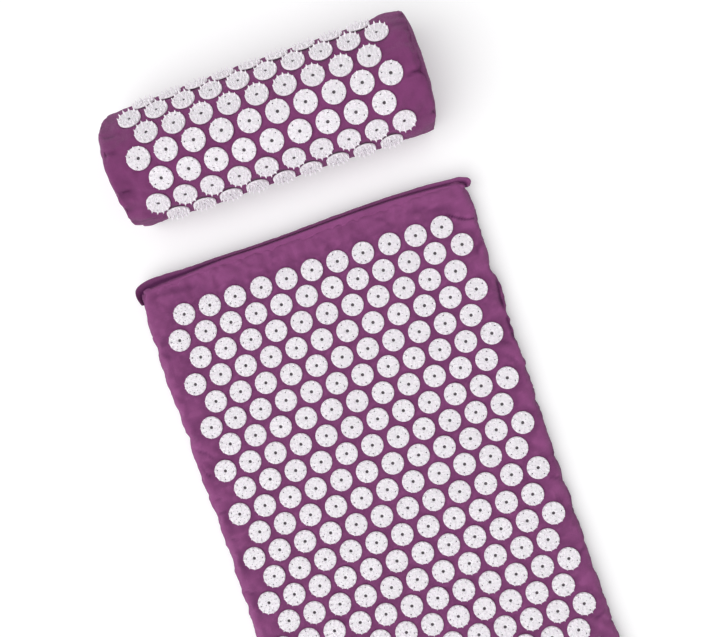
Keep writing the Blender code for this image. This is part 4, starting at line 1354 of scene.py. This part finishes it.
# Hem at the mat's head: a folded strip over the zip. Each station has the inner lip and the rim in the plan, in mm.
HEM_STATIONS = (
    ((-200.9, 290.1), (-205.5, 290.8)), ((-200.7, 294.2), (-207.5, 295.5)), ((-200.5, 298.3), (-208.8, 302.5)),
    ((-197.3, 301.2), (-207.5, 309.1)), ((-191.9, 303.0), (-200.3, 314.4)), ((-180.4, 304.6), (-187.0, 317.1)),
    ((-163.0, 305.9), (-168.3, 317.1)), ((-140.1, 307.3), (-143.3, 316.1)), ((-119.2, 309.2), (-120.3, 315.7)),
    ((-90.3, 310.6), (-90.8, 315.4)), ((-60.4, 310.1), (-60.3, 314.5)), ((-35.5, 310.0), (-35.4, 314.4)),
    ((7.4, 310.6), (7.4, 315.2)), ((59.2, 311.4), (59.2, 316.3)), ((103.1, 311.2), (103.7, 316.6)),
    ((130.0, 310.4), (131.2, 316.1)), ((157.9, 308.3), (160.2, 315.0)), ((185.8, 305.3), (189.8, 312.5)),
    ((197.3, 303.1), (204.6, 310.4)), ((201.4, 301.7), (211.4, 306.6)), ((202.6, 299.8), (212.7, 302.3)),
    ((202.8, 297.7), (209.4, 298.4)))
# Its section as (place, height in mm): under 0 the place is mm inwards from the lip, else a share of the width
HEM_SECTION = ((-9.0, 18.8), (-5.0, 19.3), (-2.0, 19.85), (0.0, 20.1), (0.14, 19.3), (0.28, 17.6), (0.42, 16.9),
               (0.60, 17.7), (0.78, 19.4), (0.90, 20.7), (0.97, 21.2), (1.01, 20.9), (1.03, 19.7), (1.02, 17.9),
               (0.98, 16.2))
HEM_SAMPLES = 260
HEM_THICKNESS = 0.0011
# In mm: where its ends set in, how much deeper they fold, and its waves as (length, seed)
HEM_ENDS = (176.0, 197.0)
HEM_END_DEPTH = 0.8
HEM_WAVES = ((34.0, 401), (12.0, 402))


def add_hem():
    """The strip runs on top of the head edge, folds down into a gutter and up to its rim, which hangs over the zip."""
    edges = np.array(HEM_STATIONS)
    inner, outer = edges[:, 0], edges[:, 1]
    run = np.concatenate([[0], np.cumsum(np.linalg.norm(np.diff((inner + outer) / 2, axis=0), axis=1))])
    samples = np.linspace(0, run[-1], HEM_SAMPLES)
    inner = through(samples, list(zip(run, inner)))
    outer = through(samples, list(zip(run, outer)))
    x = (inner[:, 0] + outer[:, 0]) / 2
    end = rise(abs(x), *HEM_ENDS)
    section = np.array(HEM_SECTION)
    shares = np.linspace(0, len(section) - 1, 2 * len(section) - 1)
    share, height = (np.interp(shares, np.arange(len(section)), column) for column in section.T)
    width = np.linalg.norm(outer - inner, axis=1, keepdims=True)
    share = np.where(share[None] < 0, share[None] / width, share[None] + 0 * width)
    plan = inner[:, None] + (outer - inner)[:, None] * share[..., None]
    z = height[None] + 0 * share
    deep = bell(shares - 5.8, 1.5)[None]
    z = z - HEM_END_DEPTH * end[:, None] * deep
    rim = rise(shares, 7, 9)[None]
    wave, small = (along_ripple(samples, length, seed)[:, None] for length, seed in HEM_WAVES)
    z = z + (0.16 * wave + 0.10 * small) * rim + 0.08 * small * (1 - rim) * (share > 0)
    plan[..., 1] += (0.10 * small + 0.10 * wave) * rim
    points = np.concatenate([plan, z[..., None]], -1) * MM
    cloth = np.stack([samples[:, None] * MM + 0 * z, shares[None] * 0.0012 + 0 * z, 0 * z], -1)
    # Painted shade: deepest in the gutter, over the whole gutter on the left part where it faces away from the light,
    # and on the rim's outer fold over the zip.
    slope = (rise(shares, 4.5, 6.0) * (1 - rise(shares, 9.0, 9.8)))[None] * (1 - rise(x, -125.0, -95.0))[:, None]
    crease = 0.95 * deep + 0.35 * slope + 0.30 * bell(shares - 10.4, 1.6)[None] + 0 * z
    faces = grid_faces(len(samples), len(shares))[:, ::-1]
    hem = add_mesh("mat_head_hem", points.reshape(-1, 3), faces, COTTON, cloth=cloth.reshape(-1, 3),
                   crease=crease.ravel())
    thicken(hem, HEM_THICKNESS)
    dress(hem, "mat", "purple_cotton", "mat_zip_flap")


add_hem()


# Zips, in their own frame: x along the zip, y out of the wall, z across it
TAPE_SHEET = 0.00050
COIL_PITCH = 0.00130
COIL_WIRE = 0.00027
COIL_STEPS = 9
COIL_Z = (0.00052, 0.00283)
COIL_Y = (0.00058, 0.00162)
STITCH_LENGTH = 0.0024
STITCH_GAP = 0.0006
STITCH_THREAD = 0.00013
STITCH_LIFT = (-1.2, 0.5, 0.9, 0.9, 0.5, -1.2)
THREAD_SIDES = 6
# Place of the stitches that hold a coil, and half the length and place of the rows beside the pillow's zip, as (y, z)
COIL_SEAM = (0.00190, 0.0024)
TOPSTITCH_HALF = 0.1600
TOPSTITCH_SEAM = (0.00012, 0.00720)
# How far the tape reaches past the coil at each end
TAPE_PAST_COIL = 0.0053
TAPE_SECTION = ((0.00060, 0.00010), (0.00085, -0.00020), (0.00150, -0.00030), (0.00260, -0.00030),
                (0.00400, -0.00030), (0.00490, -0.00032))


def stitches(half, y, z):
    """Thread stitches on a line along the zip, each a low loop that dips into the cloth at both ends."""
    parts = []
    start = STITCH_GAP
    while start + STITCH_LENGTH < 2 * half:
        along = start - half + STITCH_LENGTH * np.linspace(0, 1, len(STITCH_LIFT))
        lift = STITCH_THREAD * np.array(STITCH_LIFT)
        parts.append(tube(np.stack([along, y + lift, 0 * along + z], -1), STITCH_THREAD, THREAD_SIDES))
        start += STITCH_LENGTH + STITCH_GAP
    return parts


def add_tape(prefix, side, sign, half, matrix, margin):
    """One woven tape: flat beside the coil, then bent back behind the cover's edge, with a rolled inner edge."""
    xs = np.linspace(-half, half, 220)
    draw = along_ripple(xs, 0.03, 500 + len(prefix) + sign)
    z, y = np.array(TAPE_SECTION + margin).T
    x, z = np.meshgrid(xs, z, indexing="ij")
    points = np.stack([x, y[None] + 0.00005 * draw[:, None] - 0.00004, sign * z], -1)
    cloth = np.stack([x, z, 0 * x], -1)
    # Painted shade where the tape bends back behind the cover's edge.
    crease = 0.6 * bell(z - 0.0052, 0.0006)
    faces = grid_faces(*x.shape)
    if sign > 0:
        faces = faces[:, ::-1]
    tape = add_mesh(f"{prefix}_zip_tape_{side}_cloth", in_frame(points.reshape(-1, 3), matrix), faces, TAPE,
                    cloth=cloth.reshape(-1, 3), crease=crease.ravel())
    thicken(tape, TAPE_SHEET)
    dress(tape, prefix, "purple_zip_tape", f"{prefix}_zip_tape_{side}")


def coil_path(half, sign, phase):
    """An elliptical helix along the zip, pressed flat on its tape."""
    turns = int(2 * half / COIL_PITCH)
    t = np.arange(turns * COIL_STEPS + 1) / COIL_STEPS
    turn = 2 * math.pi * t + phase
    middle_z, middle_y = sum(COIL_Z) / 2, sum(COIL_Y) / 2
    z = middle_z + (COIL_Z[1] - COIL_Z[0]) / 2 * np.cos(turn)
    y = middle_y + (COIL_Y[1] - COIL_Y[0]) / 2 * np.sin(turn)
    x = -half + 2 * half * t / turns
    return np.stack([x, y, sign * z], -1)


def bevelled(node, name, body, width, segments):
    """The node's solid with its edges rounded, as a cast piece has them."""
    shape = bmesh.new()
    shape.from_mesh(bpy.data.objects[node].data)
    bmesh.ops.dissolve_limit(shape, angle_limit=math.radians(1), verts=shape.verts, edges=shape.edges)
    mesh = bpy.data.meshes.new(name)
    shape.to_mesh(mesh)
    shape.free()
    mesh.materials.clear()
    mesh.materials.append(METAL)
    obj = link(name, mesh)
    bevel = obj.modifiers.new("rounding", "BEVEL")
    bevel.width = width
    bevel.segments = segments
    bevel.limit_method = "ANGLE"
    bevel.angle_limit = math.radians(40)
    apply_modifiers(obj)
    obj.data.polygons.foreach_set("use_smooth", [True] * len(obj.data.polygons))
    obj.data.set_sharp_from_angle(angle=math.radians(50))
    return dress(obj, body, "plated_zinc", node)


def add_zip(prefix, matrix, half_tape, margin):
    half_coil = half_tape - TAPE_PAST_COIL
    for side, sign in (("upper", 1), ("lower", -1)):
        add_tape(prefix, side, sign, half_tape, matrix, margin)
        path = coil_path(half_coil, sign, 0.0 if sign > 0 else math.pi)
        coil = f"{prefix}_zip_coil_{side}"
        tube_object(f"{coil}_wire", [tube(path, COIL_WIRE, THREAD_SIDES)], matrix, COIL, prefix,
                    "purple_nylon_coil", coil)
        seam = stitches(half_coil, COIL_SEAM[0], sign * COIL_SEAM[1])
        tube_object(f"{coil}_stitches", seam, matrix, THREAD, prefix, "purple_zip_tape")
    for side in ("left", "right"):
        stop = f"{prefix}_zip_stop_{side}"
        bevelled(stop, f"{stop}_crimp", prefix, width=0.0004, segments=3)
    bevelled(f"{prefix}_zip_slider", f"{prefix}_zip_slider_cast", f"{prefix}_slider", width=0.00016, segments=2)
    bevelled(f"{prefix}_zip_pull", f"{prefix}_zip_pull_cast", f"{prefix}_pull", width=0.00022, segments=2)


MAT_ZIP_MATRIX = Matrix.Translation((0, 0.309025, 0.010))
PILLOW_ZIP_MATRIX = PILLOW_MATRIX @ Matrix.Translation((0, PILLOW_RADIUS, PILLOW_ZIP_HEIGHT))
MAT_TAPE_HALF, MAT_TAPE_MARGIN = 0.1852, ((0.00540, -0.00080), (0.00600, -0.00150))
PILLOW_TAPE_HALF, PILLOW_TAPE_MARGIN = 0.1610, ((0.00540, -0.00070), (0.00600, -0.00140), (0.00800, -0.00155))
add_zip("mat", MAT_ZIP_MATRIX, MAT_TAPE_HALF, MAT_TAPE_MARGIN)
add_zip("pillow", PILLOW_ZIP_MATRIX, PILLOW_TAPE_HALF, PILLOW_TAPE_MARGIN)
rows = [part for side in (1, -1) for part in stitches(TOPSTITCH_HALF, TOPSTITCH_SEAM[0], side * TOPSTITCH_SEAM[1])]
tube_object("pillow_zip_topstitching", rows, PILLOW_ZIP_MATRIX, THREAD, "pillow", "purple_cotton")


# Stage
def seen_by(tree, *rays):
    """1 for rays of those kinds, 0 for all others."""
    path = tree.nodes.new("ShaderNodeLightPath")
    seen = tree.nodes.new("ShaderNodeMath")
    seen.operation = "MAXIMUM"
    for ray, socket in zip(rays, seen.inputs):
        tree.links.new(path.outputs[f"Is {ray} Ray"], socket)
    return seen.outputs[0]


def add_stage():
    scene = bpy.context.scene
    data = bpy.data.cameras.new("camera")
    data.sensor_width = SENSOR
    data.lens = SENSOR * FOCAL_PIXELS / PICTURE[0]
    data.clip_start, data.clip_end = CLIP
    camera = link("camera", data)
    right, up = Vector(CAMERA_RIGHT).normalized(), Vector(CAMERA_UP)
    back = right.cross(up).normalized()
    up = back.cross(right)
    matrix = Matrix((right, up, back)).transposed().to_4x4()
    matrix.translation = CAMERA_PLACE
    camera.matrix_world = matrix
    scene.camera = camera

    sun = bpy.data.lights.new("key", "SUN")
    sun.energy = KEY_STRENGTH
    sun.angle = KEY_SPREAD
    key = link("key", sun)
    towards = (KEY_FROM[0] * right + KEY_FROM[1] * up + KEY_FROM[2] * back).normalized()
    key.rotation_euler = towards.to_track_quat("Z", "Y").to_euler()

    scene.world = bpy.data.worlds.new("studio")
    scene.world.use_nodes = True
    tree = scene.world.node_tree
    sky = tree.nodes["Background"]
    level = tree.nodes.new("ShaderNodeMapRange")
    level.inputs[3].default_value = AMBIENT
    level.inputs[4].default_value = 1.0
    tree.links.new(seen_by(tree, "Camera", "Transmission"), level.inputs[0])
    tree.links.new(level.outputs[0], sky.inputs["Strength"])
    sky.inputs["Color"].default_value = (1, 1, 1, 1)

    pale = Nodes("pale_floor")
    pale.set(Base_Color=FLOOR_COLOUR, Roughness=0.9, Specular_IOR_Level=0.0)
    strength = pale.math("MULTIPLY", seen_by(pale.tree, "Camera", "Glossy"), FLOOR_GLOW)
    glow = pale.new("ShaderNodeEmission", Strength=strength)
    both = pale.new("ShaderNodeAddShader", i0=pale.shader.outputs[0], i1=glow.outputs[0])
    pale.tree.links.new(both.outputs[0], pale.tree.nodes["Material Output"].inputs["Surface"])
    shape = bmesh.new()
    bmesh.ops.create_grid(shape, x_segments=8, y_segments=8, size=FLOOR_SIZE)
    mesh = bpy.data.meshes.new("floor")
    shape.to_mesh(mesh)
    shape.free()
    mesh.materials.append(pale.material)
    floor = link("floor", mesh)
    floor.location = (0, 0, -FLOOR_DROP)
    scene.view_settings.view_transform = "Standard"


add_stage()
